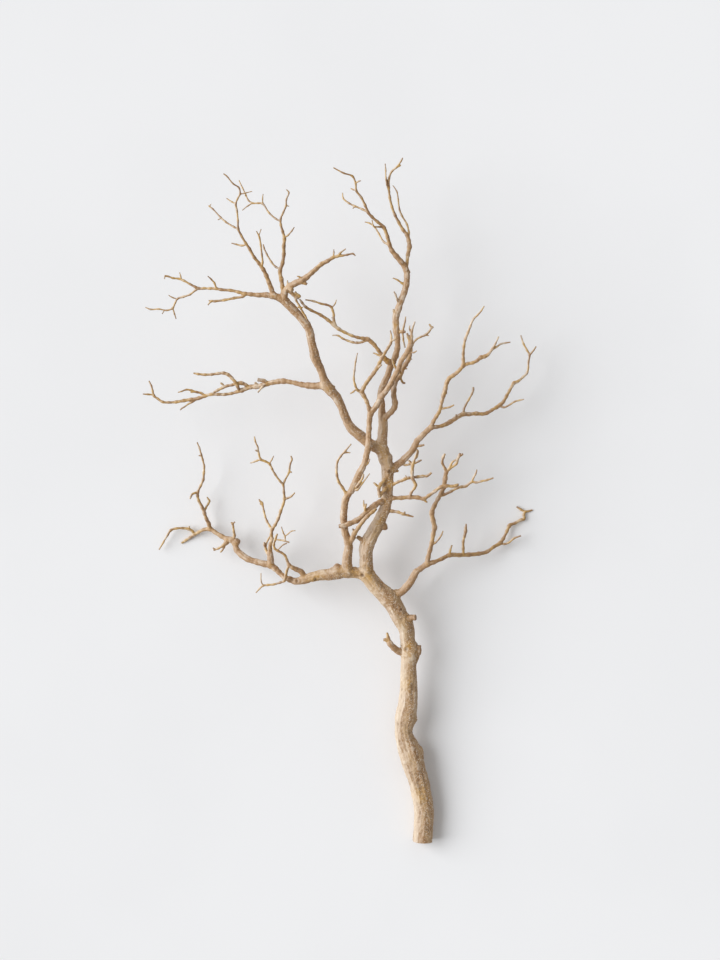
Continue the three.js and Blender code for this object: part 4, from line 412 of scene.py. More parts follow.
UPPER_LEFT_TWIGS = [
  ["upper_left_limb", [-150, 329, 0, 4.5], [-156, 325.5, -2, 4], [-170, 323, -4, 4],
    [-185, 320, -6, 3.8], [-200, 318, -8, 3.6], [-206, 318, -9, 3.2], [-212, 311, -10, 2]],
  ["upper_left_limb", [-206, 318, 0, 2.4], [-211, 319.5, 1, 1.8]],
  ["upper_left_limb", [-198, 338, 0, 3.4], [-201, 347, 3, 2.8], [-206, 353, 5, 2.4],
    [-212, 358.5, 7, 1.8]],
  ["upper_left_limb", [-226, 338, 0, 3.8], [-231, 336, -2, 3.2], [-240, 329, -5, 3],
    [-251, 325, -8, 3], [-260, 322, -10, 3], [-264, 315, -12, 2.8], [-268, 307, -14, 3],
    [-277, 303.5, -16, 2.4], [-290, 305.5, -18, 2.2], [-303, 305, -20, 2.2],
    [-312, 308.5, -21, 1.6]],
  ["upper_left_limb", [-281, 302.5, 0, 2], [-285, 297, -1, 1.5]],
  ["upper_left_limb", [-267, 307, 0, 2.4], [-265, 298, -2, 2.2], [-262, 289, -4, 1.8]],
  ["upper_left_limb", [-261, 322, 0, 2], [-268, 324, 1, 1.8], [-275, 328, 2, 1.5]],
  ["upper_left_limb", [-254, 353, 0, 2.2], [-255, 358, 1, 2], [-257, 365, 2, 1.6]],
  ["upper_left_limb", [-280, 359, 0, 2], [-281, 353, -1, 1.6]],
]

UPPER_FINGERS = [
  ["main_left_upper", "upper_left_finger", [-94, 321, 0, 9], [-106, 329, 3, 8],
    [-110, 338, 6, 7], [-114, 349, 10, 6.5], [-118, 359, 14, 6.5], [-123, 369, 18, 6],
    [-130, 379, 21, 5], [-137, 388, 24, 4.8], [-145, 402, 28, 4.5], [-151, 411, 31, 4],
    [-158, 423, 34, 3.6], [-163, 434, 37, 3.8], [-163.5, 447, 40, 3], [-165, 463, 44, 3],
    [-167, 473, 46, 3.2], [-164, 482, 48, 2.8], [-160, 490, 50, 2.8], [-162, 500, 52, 2.5],
    [-171, 506, 54, 2.3], [-181, 518, 56, 2], [-187, 522.5, 57, 1.8]],
  ["upper_left_finger", [-150, 409, 0, 3], [-157, 407, -3, 2.8], [-166, 409, -5, 2.5],
    [-174, 411, -7, 2]],
  ["upper_left_finger", [-163, 433, 0, 3], [-170, 437, -3, 2.8], [-183, 445, -7, 2.8],
    [-192, 453, -10, 2.6], [-204, 466, -14, 2.3], [-211, 471, -16, 1.8]],
  ["upper_left_finger", [-209, 470, 0, 1.8], [-206, 474, 1, 1.4]],
  ["upper_left_finger", [-190, 451, 0, 2], [-196, 448, -1, 1.5]],
  ["upper_left_finger", [-167, 474, 0, 2.4], [-173, 477, -2, 2.2], [-182, 483, -4, 1.6]],
  ["upper_left_finger", [-160, 489, 0, 2.2], [-152, 491, 2, 1.9], [-140, 494, 4, 1.5]],
  ["upper_left_finger", [-125, 373, 0, 3.6], [-124, 380, 4, 3.2], [-125, 392, 9, 3],
    [-127, 408, 15, 3], [-129, 420, 19, 2.8], [-134, 431, 23, 1.8]],
  ["upper_left_finger", [-129, 423, 0, 2], [-126, 434, 3, 1.6]],
  ["main_left_upper", "upper_middle_finger", [-92, 321, 0, 8], [-91, 331, 2, 7],
    [-92, 341, 4, 6], [-94, 353, 6, 6], [-96, 366, 8, 6], [-92, 379, 10, 5.5],
    [-90, 393, 12, 5.5], [-90, 406, 14, 5.5], [-89, 418, 16, 5], [-92, 430, 18, 4.2],
    [-95, 441, 20, 3.6], [-95, 450, 22, 3.2], [-91, 460, 24, 3], [-86.5, 471, 26, 3],
    [-86, 481, 28, 2.6], [-82, 492, 30, 2.4], [-86, 497, 31, 1.8]],
  ["upper_middle_finger", [-86, 471, 0, 2], [-81, 470, 1, 1.5]],
  ["upper_middle_finger", [-96, 370, 0, 3.6], [-103, 373, -5, 3], [-110, 381, -9, 3],
    [-117, 393, -13, 2.8], [-122, 404, -16, 2.6], [-123, 410, -17, 2]],
  ["upper_middle_finger", [-89, 420, 0, 3], [-83, 424, 3, 2.6], [-77, 431, 6, 2.3],
    [-73, 437, 8, 1.8]],
  ["upper_middle_finger", [-95, 446, 0, 3], [-103, 450, -4, 2.8], [-114, 460, -8, 2.8],
    [-124, 474, -12, 2.8], [-131, 475, -13, 2.6], [-140, 475, -15, 2.6], [-147, 480, -17, 2.4],
    [-151, 489, -19, 2.3], [-156, 499, -21, 2.2], [-162, 512, -24, 1.8]],
  ["upper_middle_finger", [-124, 473, 0, 2.2], [-124, 482, 2, 2], [-123, 490, 4, 1.6]],
  ["upper_middle_finger", [-140, 475, 0, 2.2], [-147, 471, -1, 2], [-157, 463, -3, 1.6]],
  ["upper_middle_finger", [-150, 487, 0, 2.2], [-152.5, 487, 1, 2]],
]

UPPER_RIGHT_ARM = [
  ["main_left_upper", "upper_right_arm", [-88, 317, 0, 10], [-88, 328, 8, 9], [-86, 336, 14, 9],
    [-80, 342, 20, 9.5], [-71, 347, 25, 10.5], [-61, 351.5, 29, 11], [-53, 357, 32, 8.5],
    [-45, 364, 35, 7.5], [-38, 370, 37, 7], [-30, 377, 39, 6.4], [-20, 382.5, 41, 6],
    [-12, 387.5, 43, 5], [-4, 390, 44, 4.2], [3, 391, 45, 3.4], [12, 392.5, 46, 3],
    [21, 394, 46, 2.4], [25, 390, 46, 1.8]],
  ["upper_right_arm", [-4, 390, 0, 3.2], [0, 395, 2, 2.8], [10, 402.5, 4, 2]],
  ["upper_right_arm", [-11, 388, 0, 2.6], [-10, 396, 2, 2.2], [-10, 402, 3, 1.6]],
  ["upper_right_arm", [-83, 340, 0, 3], [-84, 347, 3, 2.4], [-84, 352, 4, 1.8]],
  ["upper_right_arm", [-60, 352, 0, 3], [-65, 357, 3, 2.4], [-69, 358, 4, 1.8]],
  ["upper_right_arm", [-64, 350, 0, 6], [-57, 347.5, 2, 5], [-53, 345, 3, 4.4]],
  ["upper_right_arm", [-82, 340, 0, 7], [-78, 337, 7, 6], [-76, 336, 9, 5]],
  ["upper_right_arm", "knuckle_twigs", [-85, 337, 0, 6], [-80, 333.5, -2, 5.4],
    [-75, 329, -4, 5], [-70, 325, -6, 4.8], [-66, 322.5, -8, 3.2]],
  ["knuckle_twigs", [-74, 328, 0, 3.6], [-70, 319, -3, 3], [-66, 312, -5, 2.8],
    [-63, 307, -7, 3.4], [-60, 301, -9, 3.2], [-56, 295, -11, 3], [-52.5, 288.5, -13, 2.6]],
  ["knuckle_twigs", [-65, 309, 0, 2.6], [-69, 307.5, 1, 2.2]],
  ["knuckle_twigs", [-63, 308, 0, 2.4], [-58, 308.5, 1, 1.8]],
  ["knuckle_twigs", [-68, 324, 0, 3], [-64, 325.5, 2, 3], [-66, 328, 4, 2.8],
    [-71, 331.5, 5, 2.6], [-71, 334.5, 5, 2]],
]

RIGHT_MIDDLE = [
  ["leader_lower", "crossing_stub_limb", [74, -2, 0, 9], [65, -3, 8, 9], [56, -8, 12, 9],
    [46, -16, 14, 8.5], [36, -26, 16, 8], [26, -33, 18, 8], [15, -38, 19, 8], [5, -41.5, 19, 7],
    [-2, -42, 19, 6]],
  ["crossing_stub_limb", [40, -21, 0, 4], [40, -14, 4, 3.5], [42, -6, 7, 3]],
  ["crossing_stub_limb", [40, -17, 0, 3], [38, -8, 3, 2.5], [38, 0, 5, 1.8]],
  ["leader_lower", "right_middle_limb", [75, 2, 0, 7], [86, 3, 4, 6], [98, 3.5, 6, 6],
    [112, 4.5, 8, 6.5], [124, 4, 10, 6], [134, 2, 11, 5.5], [142, 7, 12, 5], [152, 14, 13, 4.6],
    [162, 21, 14, 5], [170, 22.5, 14, 5], [180, 22, 13, 4.2], [185, 22.8, 13, 4.2],
    [190, 25, 12, 3.5]],
  ["right_middle_limb", [134, 2, 0, 3], [137, -2, -1, 2.6], [140, -4, -2, 2]],
  ["right_middle_limb", "upright_twig", [112, 4, 0, 5], [114, 12, 6, 4], [119, 19, 10, 4],
    [121, 24, 11, 4.6], [119, 29, 12, 4.2], [116, 35, 13, 5], [115.5, 45, 14, 4.6],
    [116, 55, 15, 5.2], [118, 61, 16, 3.6], [121, 69, 17, 3], [124, 81, 18, 2.4]],
  ["upright_twig", [116, 56, 0, 3.6], [112, 61, 0, 3], [109.5, 64, 1, 2.4]],
  ["leader_middle", "right_middle_twig", [78, 23, 0, 6], [86, 25.5, 6, 4.6], [93, 29, 9, 4],
    [99, 31, 10, 4], [104, 33.5, 11, 4.8], [110, 35.3, 11, 4], [116, 36, 10, 3.8],
    [124, 37, 10, 4.2], [132, 38, 10, 3.8], [139, 38.5, 11, 3.4], [143, 41, 12, 3.2],
    [146.5, 44, 13, 3.2]],
  ["right_middle_twig", [106, 35, 0, 2], [105, 40, 2, 1.5]],
]

RIGHT_UPPER = [
  ["leader_middle", "right_upper_limb", [76, 45, 0, 15], [84, 51, -1, 13.5], [91, 56, -2, 11],
    [98, 61, -3, 11], [104, 67, -3, 10], [110, 73, -2, 9.2], [116, 80, -1, 9.2],
    [120, 87, 0, 9.4], [123, 94, 1, 9], [128, 99, 2, 8], [134, 105, 3, 8], [140, 111, 4, 8],
    [146, 116, 5, 8],
    "right_outer_limb", [155, 117, 3, 5.2], [163, 118.8, 0, 5.4], [170, 121.5, -3, 6.2],
    [176, 125, -5, 7], [184, 130, -7, 6.2], [191, 134.5, -9, 6], [198, 137.5, -11, 7],
    [206, 137, -13, 5.4], [218, 138.3, -16, 5.8], [228, 137.5, -19, 5], [235, 139, -21, 5.2],
    [243, 144, -23, 4.6], [250, 148, -25, 5], [256, 152, -27, 5.8], [261, 157, -28, 5],
    [266, 166, -30, 5], [271, 175, -32, 4.2], [275, 182, -33, 4], [278, 187, -34, 5.4],
    [285, 190, -35, 3.8], [293, 197, -37, 3.2], [299, 203, -38, 3.4], [301, 211, -38, 3],
    [301.5, 221, -38, 3], [303, 232, -38, 3.6], [299, 240, -38, 3], [293.5, 250, -37, 2.8],
    [289, 264, -36, 2.2]],
  ["right_upper_limb", [98, 60, 0, 4], [104, 56, 1, 3], [111, 57, 2, 2.8], [120, 59, 3, 2.8],
    [126, 62, 4, 2.8], [131, 64, 5, 2.4]],
  ["leader_middle", [78, 47, 0, 7], [88, 47, -1, 5], [94, 46, -1, 3]],
  ["right_upper_limb", [121, 85, 0, 3.6], [129, 86.8, 2, 3], [135.5, 88.5, 3, 2.8]],
  ["right_upper_limb", [119, 83, 0, 4], [124, 78, -3, 3.4], [123, 70, -4, 3], [121, 66, -4, 2.6]],
  ["right_outer_limb", [182, 129.5, 0, 3.4], [185, 133.5, 2, 2.4], [186, 138, 3, 1.8]],
  ["right_outer_limb", [197, 138, 0, 4], [198, 145, 3, 3.2], [201, 152, 5, 3],
    [206, 161, 8, 3], [211, 170, 11, 3], [213, 176, 12, 3], [213, 181, 13, 3.2]],
  ["right_outer_limb", [255, 150, 0, 3.4], [262, 148.3, 1, 2.8], [267, 150, 2, 2.6],
    [273, 153.5, 3, 2.6], [279, 157.3, 4, 2.6], [287, 159.5, 5, 2.2], [295, 161.2, 6, 1.5]],
  ["right_outer_limb", [303, 231, 0, 2.8], [306, 235, 1, 2.6], [310, 240, 2, 2.5],
    [314, 246, 3, 2.2]],
  ["right_upper_limb", "right_tall_limb", [145, 115, 0, 6.5], [149, 125, 4, 5.8],
    [153.5, 133, 7, 5.6], [158, 140, 10, 5.4], [161, 149, 13, 4.8], [163, 158, 16, 5],
    [165.5, 167, 19, 6], [168.5, 177, 22, 6.4], [171, 188, 25, 6], [175, 195, 27, 6],
    [181, 199, 28, 5.6], [187, 203.5, 29, 5], [192, 209, 31, 5], [197, 215, 33, 6],
    "right_tall_tip", [197, 226, 36, 4.8], [197, 235, 39, 4.5], [198, 246, 42, 4.2],
    [200.5, 258, 45, 4], [204.5, 268, 48, 4], [208, 277, 50, 3.4], [213, 289, 53, 3],
    [220, 296, 55, 2.8], [226, 303, 57, 2.5], [231, 311, 59, 2]],
  ["right_tall_limb", [160, 145, 0, 3.2], [167, 147, 2, 2.8], [175, 148.5, 3, 2.6],
    [183, 152.5, 4, 2.2]],
  ["right_tall_limb", [167, 171, 0, 6], [170, 171.5, 0, 4]],
  ["right_tall_limb", "right_tall_side_twig", [196, 214, 0, 5], [204, 218, 0, 4.6],
    [212, 219.5, 0, 5], [219, 223, 0, 5], [225, 228, 0, 6], [232, 230, 0, 5.4],
    [237, 233, 0, 4.2], [243, 241, 1, 4], [248, 249, 3, 2.8], [254, 262, 5, 2.2]],
  ["right_tall_side_twig", [243, 240.5, 0, 3.4], [250, 244.5, -1, 2.6], [257, 249.5, -2, 2.4],
    [265, 251.3, -3, 2.2], [273, 252.5, -4, 1.8]],
]

# Low knobs and torn collars, too small for the solids.
KNOBS = [
  ["trunk", [122, -399, 2, 9], [128.5, -401, 2, 6], [131.5, -402.5, 2, 3]],
  ["trunk", [114, -353, 2, 9], [120, -352, 2, 5], [122.5, -351.5, 2, 3]],
  ["trunk", [117, -268, 3, 4], [121, -256, 3, 7], [124.5, -243, 3, 9]],
  ["trunk", [100, -194, 6, 9], [107, -191, 7, 10], [114, -189, 6, 9.5]],
  ["trunk", [85, -151, 0, 10], [89, -147, 1, 7], [90.5, -145, 2, 4]],
  ["trunk", [106, -244, 8, 6], [112, -247, 8, 6], [119, -245, 6, 6]],
]

WOOD = [
    *TRUNK_AND_LEADER,
    *TRUNK_STUBS,
    *LEADER_TWIGS,
    *TOP_SPRAYS,
    *RIGHT_LOWER,
    *LEFT_LOWER,
    *LEFT_RISING,
    *LEFT_ARCH,
    *INNER_AND_FRONT,
    *BOW,
    *LONG_CROSSING,
    *MAIN_LEFT,
    *LEFT_MIDDLE,
    *UPPER_LEFT_TWIGS,
    *UPPER_FINGERS,
    *UPPER_RIGHT_ARM,
    *RIGHT_MIDDLE,
    *RIGHT_UPPER,
    *KNOBS,
]

# Skeleton


def place(drawn):
    """Where drawn points really are, and their radii: the nearer to the eye, the larger drawn."""
    drawn = np.array(drawn, float)
    scale = 1 - (drawn[:, 2] - MIDDLE_HEIGHT) / EYE_HEIGHT
    flat = EYE + (drawn[:, :2] - EYE) * scale[:, None] - ORIGIN
    return np.column_stack([flat, drawn[:, 2] - FLOOR_DROP]), drawn[:, 3] / 2 * scale


def spline(points):
    """Centripetal Catmull-Rom curve through the points, DENSE places between each two."""
    ends = [2 * points[0] - points[1], *points, 2 * points[-1] - points[-2]]
    t = np.arange(DENSE)[:, None] / DENSE
    pieces = []
    for before, start, end, after in zip(ends, ends[1:], ends[2:], ends[3:]):
        gap_0, gap_1, gap_2 = (
            math.sqrt(np.linalg.norm(b - a))
            for a, b in ((before, start), (start, end), (end, after))
        )
        leave = (start - before) / gap_0 - (end - before) / (gap_0 + gap_1) + (end - start) / gap_1
        arrive = (end - start) / gap_1 - (after - start) / (gap_1 + gap_2) + (after - end) / gap_2
        leave, arrive = leave * gap_1, arrive * gap_1
        pieces.append(
            start
            + leave * t
            + (3 * (end - start) - 2 * leave - arrive) * t**2
            + (2 * (start - end) + leave + arrive) * t**3
        )
    return np.vstack([*pieces, points[-1:]])


class Limb:
    """One path as evenly spaced places, each with a radius, a frame and the piece it is in."""

    def __init__(self, parent, drawn):
        self.parent = parent
        self.drawn = drawn
        points, radii = place(drawn)
        dense = spline(points)
        where = np.arange(len(dense)) / DENSE
        passed = np.append(0, np.cumsum(np.linalg.norm(np.diff(dense, axis=0), axis=1)))
        count = max(FEWEST_STEPS, round(passed[-1] / STEP)) + 1
        self.passed = np.linspace(0, passed[-1], count)
        self.points = np.column_stack(
            [np.interp(self.passed, passed, dense[:, axis]) for axis in range(3)]
        )
        self.where = np.interp(self.passed, passed, where)
        self.radii = np.interp(self.where, np.arange(len(radii)), radii)
        self.swell_at_buds(passed[DENSE:-1:DENSE])
        ahead = np.gradient(self.points, axis=0)
        self.ahead = ahead / np.linalg.norm(ahead, axis=1)[:, None]
        side = np.cross([0, 0, 1], self.ahead)
        self.side = side / np.linalg.norm(side, axis=1)[:, None]
        self.over = np.cross(self.ahead, self.side)
        self.stretches = []  # (piece, first point, last point)
        self.fork_end = 0  # up to this place it stays part of its parent
        self.start_along = 0  # length of wood from the butt to its foot

    def swell_at_buds(self, buds):
        """Thickens a slender limb at its bends, where its buds were."""
        if not len(buds):
            return
        apart = np.abs(self.passed[:, None] - buds[None]).min(axis=1)
        slender = np.clip((BUDS_BELOW - self.radii) / BUDS_BELOW, 0, 1)
        self.radii *= 1 + BUD_SWELL * slender * np.exp(-((apart / BUD_LENGTH) ** 2))


def nearest_on_piece(stretches, x, y):
    """The drawn point of a piece's paths that lies nearest to x, y, and its limb."""
    best = (math.inf, None, None, None)
    for limb, first, last in stretches:
        for index, (a, b) in enumerate(zip(limb.drawn[first:last], limb.drawn[first + 1 :])):
            a, b = np.array(a[:3], float), np.array(b[:3], float)
            step = (b - a)[:2]
            share = np.clip(((x, y) - a[:2]) @ step / (step @ step), 0, 1)
            point = a + (b - a) * share
            distance = math.hypot(point[0] - x, point[1] - y)
            if distance < best[0]:
                best = (distance, point, limb, first + index + share)
    return best[1:]


def grow(paths):
    """Turns the paths into limbs, and lists which stretch of which limb makes each piece."""
    limbs, pieces = [], {}
    for parent, *entries in paths:
        points = [entry for entry in entries if not isinstance(entry, str)]
        start_along = 0
        if parent in pieces:
            foot, carrier, where = nearest_on_piece(pieces[parent], *points[0][:2])
            points = [[x, y, foot[2] + rise, thick] for x, y, rise, thick in points]
            points[0][:2] = foot[:2]
            start_along = carrier.start_along + np.interp(where, carrier.where, carrier.passed)
        limb = Limb(parent, points)
        limb.start_along = start_along
        limb.leaves = parent in pieces and isinstance(entries[0], str)
        name, first, passed = parent, 0, 0
        for entry in [*entries, ""]:
            if not isinstance(entry, str):
                passed += 1
                continue
            last = passed if entry else passed - 1
            if last > first:
                limb.stretches.append((name, first, last))
            name, first = entry, passed
        for name, first, last in limb.stretches:
            pieces.setdefault(name, []).append((limb, first, last))
        limbs.append(limb)
    return limbs, pieces


def clear_of(limb, others):
    """Which places of a limb stand clear of all the others."""
    clear = np.ones(len(limb.points), bool)
    for other in others:
        apart = np.linalg.norm(limb.points[:, None] - other.points[None], axis=2)
        room = apart - limb.radii[:, None] - other.radii[None]
        clear &= room.min(axis=1) > CLEAR_OF_FORK
    return clear


def find_fork_ends(limbs, pieces):
    """Finds where each limb that starts a piece of its own comes clear of its fork."""
    for limb in (one for one in limbs if one.leaves):
        others = {id(carrier): carrier for carrier, *_ in pieces[limb.parent]}
        for other in limbs:
            near = np.linalg.norm(other.points[0] - limb.points[0]) < SIBLING_REACH
            if other.leaves and other.parent == limb.parent and near:
                others[id(other)] = other
        others.pop(id(limb), None)
        clear = clear_of(limb, others.values())
        length = round(CLEAR_RUN / STEP)
        limb.fork_end = next(
            start for start in range(len(clear)) if clear[start : start + length].all()
        )


def label_places(limbs, names):
    """Gives every place of every limb the index of the piece that it belongs to."""
    for limb in limbs:
        limb.piece = np.zeros(len(limb.points), int)
        for name, first, last in limb.stretches:
            limb.piece[(limb.where >= first) & (limb.where <= last)] = names.index(name)
        if limb.leaves:
            limb.piece[: limb.fork_end] = names.index(limb.parent)


def lengthen_butt(limb):
    """Adds spare wood before the first place of the trunk, to be sawn off square later."""
    count = round(BUTT_SPARE / STEP)
    back = np.arange(count, 0, -1)[:, None] * limb.passed[1]
    limb.points = np.vstack([limb.points[0] - limb.ahead[0] * back, limb.points])
    for key in ("radii", "piece", "ahead", "side", "over", "where"):
        values = getattr(limb, key)
        setattr(limb, key, np.concatenate([np.repeat(values[:1], count, axis=0), values]))


LIMBS, PIECES = grow(WOOD)
find_fork_ends(LIMBS, PIECES)
NAMES = [name for name in PIECES if name in frame["nodes"]]
label_places(LIMBS, NAMES)
BUTT = LIMBS[0].points[0].copy()
BUTT_AHEAD = LIMBS[0].ahead[0].copy()
lengthen_butt(LIMBS[0])


# Rough skin


def tube(limb):
    """Corners and faces of a plain closed tube round a limb."""
    turn = np.arange(SIDES) * 2 * math.pi / SIDES
    radii = np.maximum(limb.radii, THINNEST)[:, None, None]
    round_side = limb.side[:, None] * np.cos(turn)[None, :, None]
    round_over = limb.over[:, None] * np.sin(turn)[None, :, None]
    corners = (limb.points[:, None] + radii * (round_side + round_over)).reshape(-1, 3)
    faces = [tuple(range(SIDES))[::-1], tuple(range(len(corners) - SIDES, len(corners)))]
    for ring in range(len(limb.points) - 1):
        for corner in range(SIDES):
            a = ring * SIDES + corner
            b = ring * SIDES + (corner + 1) % SIDES
            faces.append((a, b, b + SIDES, a + SIDES))
    return corners, faces


def mesh_from(name, corners, faces):
    mesh = bpy.data.meshes.new(name)
    mesh.from_pydata(corners, [], faces)
    mesh.update()
    return mesh


def rough_skin(limbs):
    """All tubes joined into one closed skin of even small squares."""
    corners, faces, count = [], [], 0
    for limb in limbs:
        more_corners, more_faces = tube(limb)
        corners.append(more_corners)
        faces += [tuple(index + count for index in face) for face in more_faces]
        count += len(more_corners)
    rough = bpy.data.objects.new("rough", mesh_from("rough", np.vstack(corners), faces))
    bpy.context.collection.objects.link(rough)
    remesh = rough.modifiers.new("even", "REMESH")
    remesh.mode = "VOXEL"
    remesh.voxel_size = VOXEL
    graph = bpy.context.evaluated_depsgraph_get()
    skin = bpy.data.meshes.new_from_object(rough.evaluated_get(graph))
    bpy.data.objects.remove(rough)
    keep_largest_shell(skin)
    return skin


def keep_largest_shell(mesh):
    """Drops the small closed voids that the voxels leave inside the wood."""
    made = bmesh.new()
    made.from_mesh(mesh)
    unseen = set(made.verts)
    shells = []
    while unseen:
        shell = [unseen.pop()]
        for corner in shell:
            for edge in corner.link_edges:
                other = edge.other_vert(corner)
                if other in unseen:
                    unseen.remove(other)
                    shell.append(other)
        shells.append(shell)
    shells.sort(key=len)
    for shell in shells[:-1]:
        bmesh.ops.delete(made, geom=shell, context="VERTS")
    made.to_mesh(mesh)
    made.free()


def positions(mesh):
    flat = np.empty(len(mesh.vertices) * 3, np.float32)
    mesh.vertices.foreach_get("co", flat)
    return flat.reshape(-1, 3).astype(float)


def move_to(mesh, points):
    mesh.vertices.foreach_set("co", points.astype(np.float32).ravel())
    mesh.update()


def directions(mesh):
    flat = np.empty(len(mesh.vertices) * 3, np.float32)
    mesh.vertex_normals.foreach_get("vector", flat)
    return flat.reshape(-1, 3).astype(float)


# True thickness


def gaps_to_run(points, limb, first, last):
    """Gap from each point to the bark of one run of a limb, and what lies nearest on its axis."""
    start, step = limb.points[first:last], np.diff(limb.points[first : last + 1], axis=0)
    offset = points[:, None] - start[None]
    share = np.clip((offset * step).sum(axis=2) / (step**2).sum(axis=1), 0, 1)
    from_axis = offset - share[..., None] * step
    radius = limb.radii[first:last] + share * np.diff(limb.radii[first : last + 1])
    gap = np.linalg.norm(from_axis, axis=2) - radius
    row = np.arange(len(points))
    best = gap.argmin(axis=1)
    place_index = np.minimum(first + np.round(best + share[row, best]).astype(int), last)
    along = (first + best + share[row, best]) * limb.passed[1] + limb.start_along
    return gap[row, best], from_axis[row, best], radius[row, best], place_index, along


class Around:
    """What wood lies round each of many points, with the limbs of a fork blended smoothly."""

    def __init__(self, points, swell):
        count = len(points)
        total = np.zeros(count)
        self.nearest = np.full(count, np.inf)
        self.piece = np.zeros(count, int)
        pull, grain, radius = np.zeros((count, 3)), np.zeros((count, 3)), np.zeros(count)
        order = np.argsort(points[:, 1])
        sorted_y = points[order, 1]
        for limb in LIMBS:
            found = self.of_limb(points, limb, order, sorted_y)
            if found is None:
                continue
            index, gap, from_axis, limb_radius, place_index, along = found
            weight = np.exp(-gap / swell[index])
            total[index] += weight
            pull[index] += weight[:, None] * from_axis
            radius[index] += weight * limb_radius
            axes = (limb.side[place_index], limb.over[place_index])
            across = [(from_axis * axis).sum(axis=1) for axis in axes]
            grain[index] += weight[:, None] * np.column_stack([*across, along])
            closer = gap < self.nearest[index]
            self.nearest[index[closer]] = gap[closer]
            self.piece[index[closer]] = limb.piece[place_index[closer]]
        self.gap = -swell * np.log(total)
        self.out = pull / np.linalg.norm(pull, axis=1)[:, None]
        self.radius = radius / total
        self.grain = grain / total[:, None]
        # nothing where one limb is alone, near 1 in the crook of a fork
        self.fork = np.clip((self.nearest - self.gap) / (swell * math.log(2)), 0, 1)

    @staticmethod
    def of_limb(points, limb, order, sorted_y):
        """The nearest run of one limb for every point within reach of it, or None."""
        found = []
        for first in range(0, len(limb.points) - 1, RUN):
            last = min(first + RUN, len(limb.points) - 1)
            margin = limb.radii[first : last + 1].max() + REACH
            low = limb.points[first : last + 1].min(axis=0) - margin
            high = limb.points[first : last + 1].max(axis=0) + margin
            index = order[slice(*np.searchsorted(sorted_y, (low[1], high[1])))]
            near = points[index]
            index = index[((near > low) & (near < high)).all(axis=1)]
            if len(index):
                found.append((index, *gaps_to_run(points[index], limb, first, last)))
        if not found:
            return None
        joined = [np.concatenate(parts) for parts in zip(*found)]
        by_gap = np.argsort(joined[1], kind="stable")
        _, once = np.unique(joined[0][by_gap], return_index=True)
        return [part[by_gap[once]] for part in joined]


def swell_near(points):
    radius = Around(points, np.full(len(points), FIRST_SWELL)).radius
    return np.clip(SWELL_SHARE * radius, *SWELL_LIMITS)


def smoothed(points, edges):
    """Each point halfway to the middle of its neighbours."""
    a, b = edges.T
    count = np.bincount(edges.ravel(), minlength=len(points))
    middle = np.column_stack(
        [
            np.bincount(a, points[b, axis], len(points))
            + np.bincount(b, points[a, axis], len(points))
            for axis in range(3)
        ]
    )
    return (points + middle / count[:, None]) / 2


def settle(mesh):
    """Moves the rough skin onto the true thickness, with swellings where limbs fork."""
    edges = np.empty(len(mesh.edges) * 2, np.int32)
    mesh.edges.foreach_get("vertices", edges)
    edges = edges.reshape(-1, 2)
    points = positions(mesh)
    swell = swell_near(points)
    for _ in range(SETTLES):
        points = smoothed(points, edges)
        around = Around(points, swell)
        move = np.clip(around.gap, -MOST_MOVE, MOST_MOVE)
        points -= around.out * move[:, None]
    move_to(mesh, points)


# Weathering

SLOPE_COUNT = 256
SEED_SHIFT = 17.3  # cells between one pattern and the next
NOISE_GAIN = 1.6  # brings the noise to about -1 to 1
RANDOM = np.random.default_rng(7)
SHUFFLE = np.tile(RANDOM.permutation(SLOPE_COUNT), 2)
SLOPES = RANDOM.normal(size=(SLOPE_COUNT, 3))
SLOPES /= np.linalg.norm(SLOPES, axis=1)[:, None]


def noise(points, cell, seed=0):
    """Smooth noise from about -1 to 1, for cells of the given size."""
    points = points / cell + seed * SEED_SHIFT
    corner = np.floor(points).astype(int)
    local = points - corner
    fade = local**3 * (local * (local * 6 - 15) + 10)
    total = np.zeros(len(points))
    for step in itertools.product((0, 1), repeat=3):
        x, y, z = ((corner + step) % SLOPE_COUNT).T
        slope = SLOPES[SHUFFLE[SHUFFLE[SHUFFLE[x] + y] + z]]
        weight = np.where(step, fade, 1 - fade).prod(axis=1)
        total += weight * (slope * (local - step)).sum(axis=1)
    return total * NOISE_GAIN


# Relief of the wood: across the grain, along it, depth at full thickness, thickness for that.
FLUTES = {"across": 10, "along": 85, "depth": 1.1, "full_radius": 13}
RIDGES = {"across": 5, "along": 38, "depth": 0.55, "full_radius": 9}
GRAIN = {"across": 2.4, "along": 15, "depth": 0.26, "full_radius": 5}
LUMPS = {"across": 14, "along": 12, "depth": 1.0, "full_radius": 12}
PIMPLES = {"across": 4, "along": 4, "depth": 0.5, "full_radius": 5}
RELIEF = [FLUTES, RIDGES, GRAIN, LUMPS, PIMPLES]
LEAST_RELIEF = 0.12  # share of the depth that the thinnest twig still has

# Knots: drawn x and y on the upper side, and radius.
KNOTS = [
    (107, -243, 3.4),
    (80, 45, 3.6),
    (59, -16, 3.0),
    (-40, -129, 3.4),
    (-70, -132, 3.0),
    (99, -178, 2.8),
    (36, -122, 3.2),
]
KNOT_DEPTH = 0.34  # as a share of its radius
KNOT_RIM = 0.4  # height of its rim, as a share of its depth
PIT_NARROWNESS = 1.3  # the larger, the narrower its pit
RIM_AT = 1.35  # where its rim is highest, in radii from its middle
RIM_NARROWNESS = 2.4  # the larger, the narrower its rim
PAINTED_LIGHT_SIDE = np.array([-0.87, 0.2, 0.45])  # painted highlight and shade: wood that faces this way, towards the window light, is painted paler, and wood that faces away is painted darker

# Golden places: drawn x and y, and radius.
GOLDEN = [
    (133, -482, 13),
    (106, -300, 10),
    (108, -236, 9),
    (50, -122, 17),
    (24, -112, 12),
    (60, -30, 12),
    (82, 24, 10),
    (73, 223, 9),
    (90, 280, 8),
    (-92, 340, 12),
    (-40, -128, 13),
]


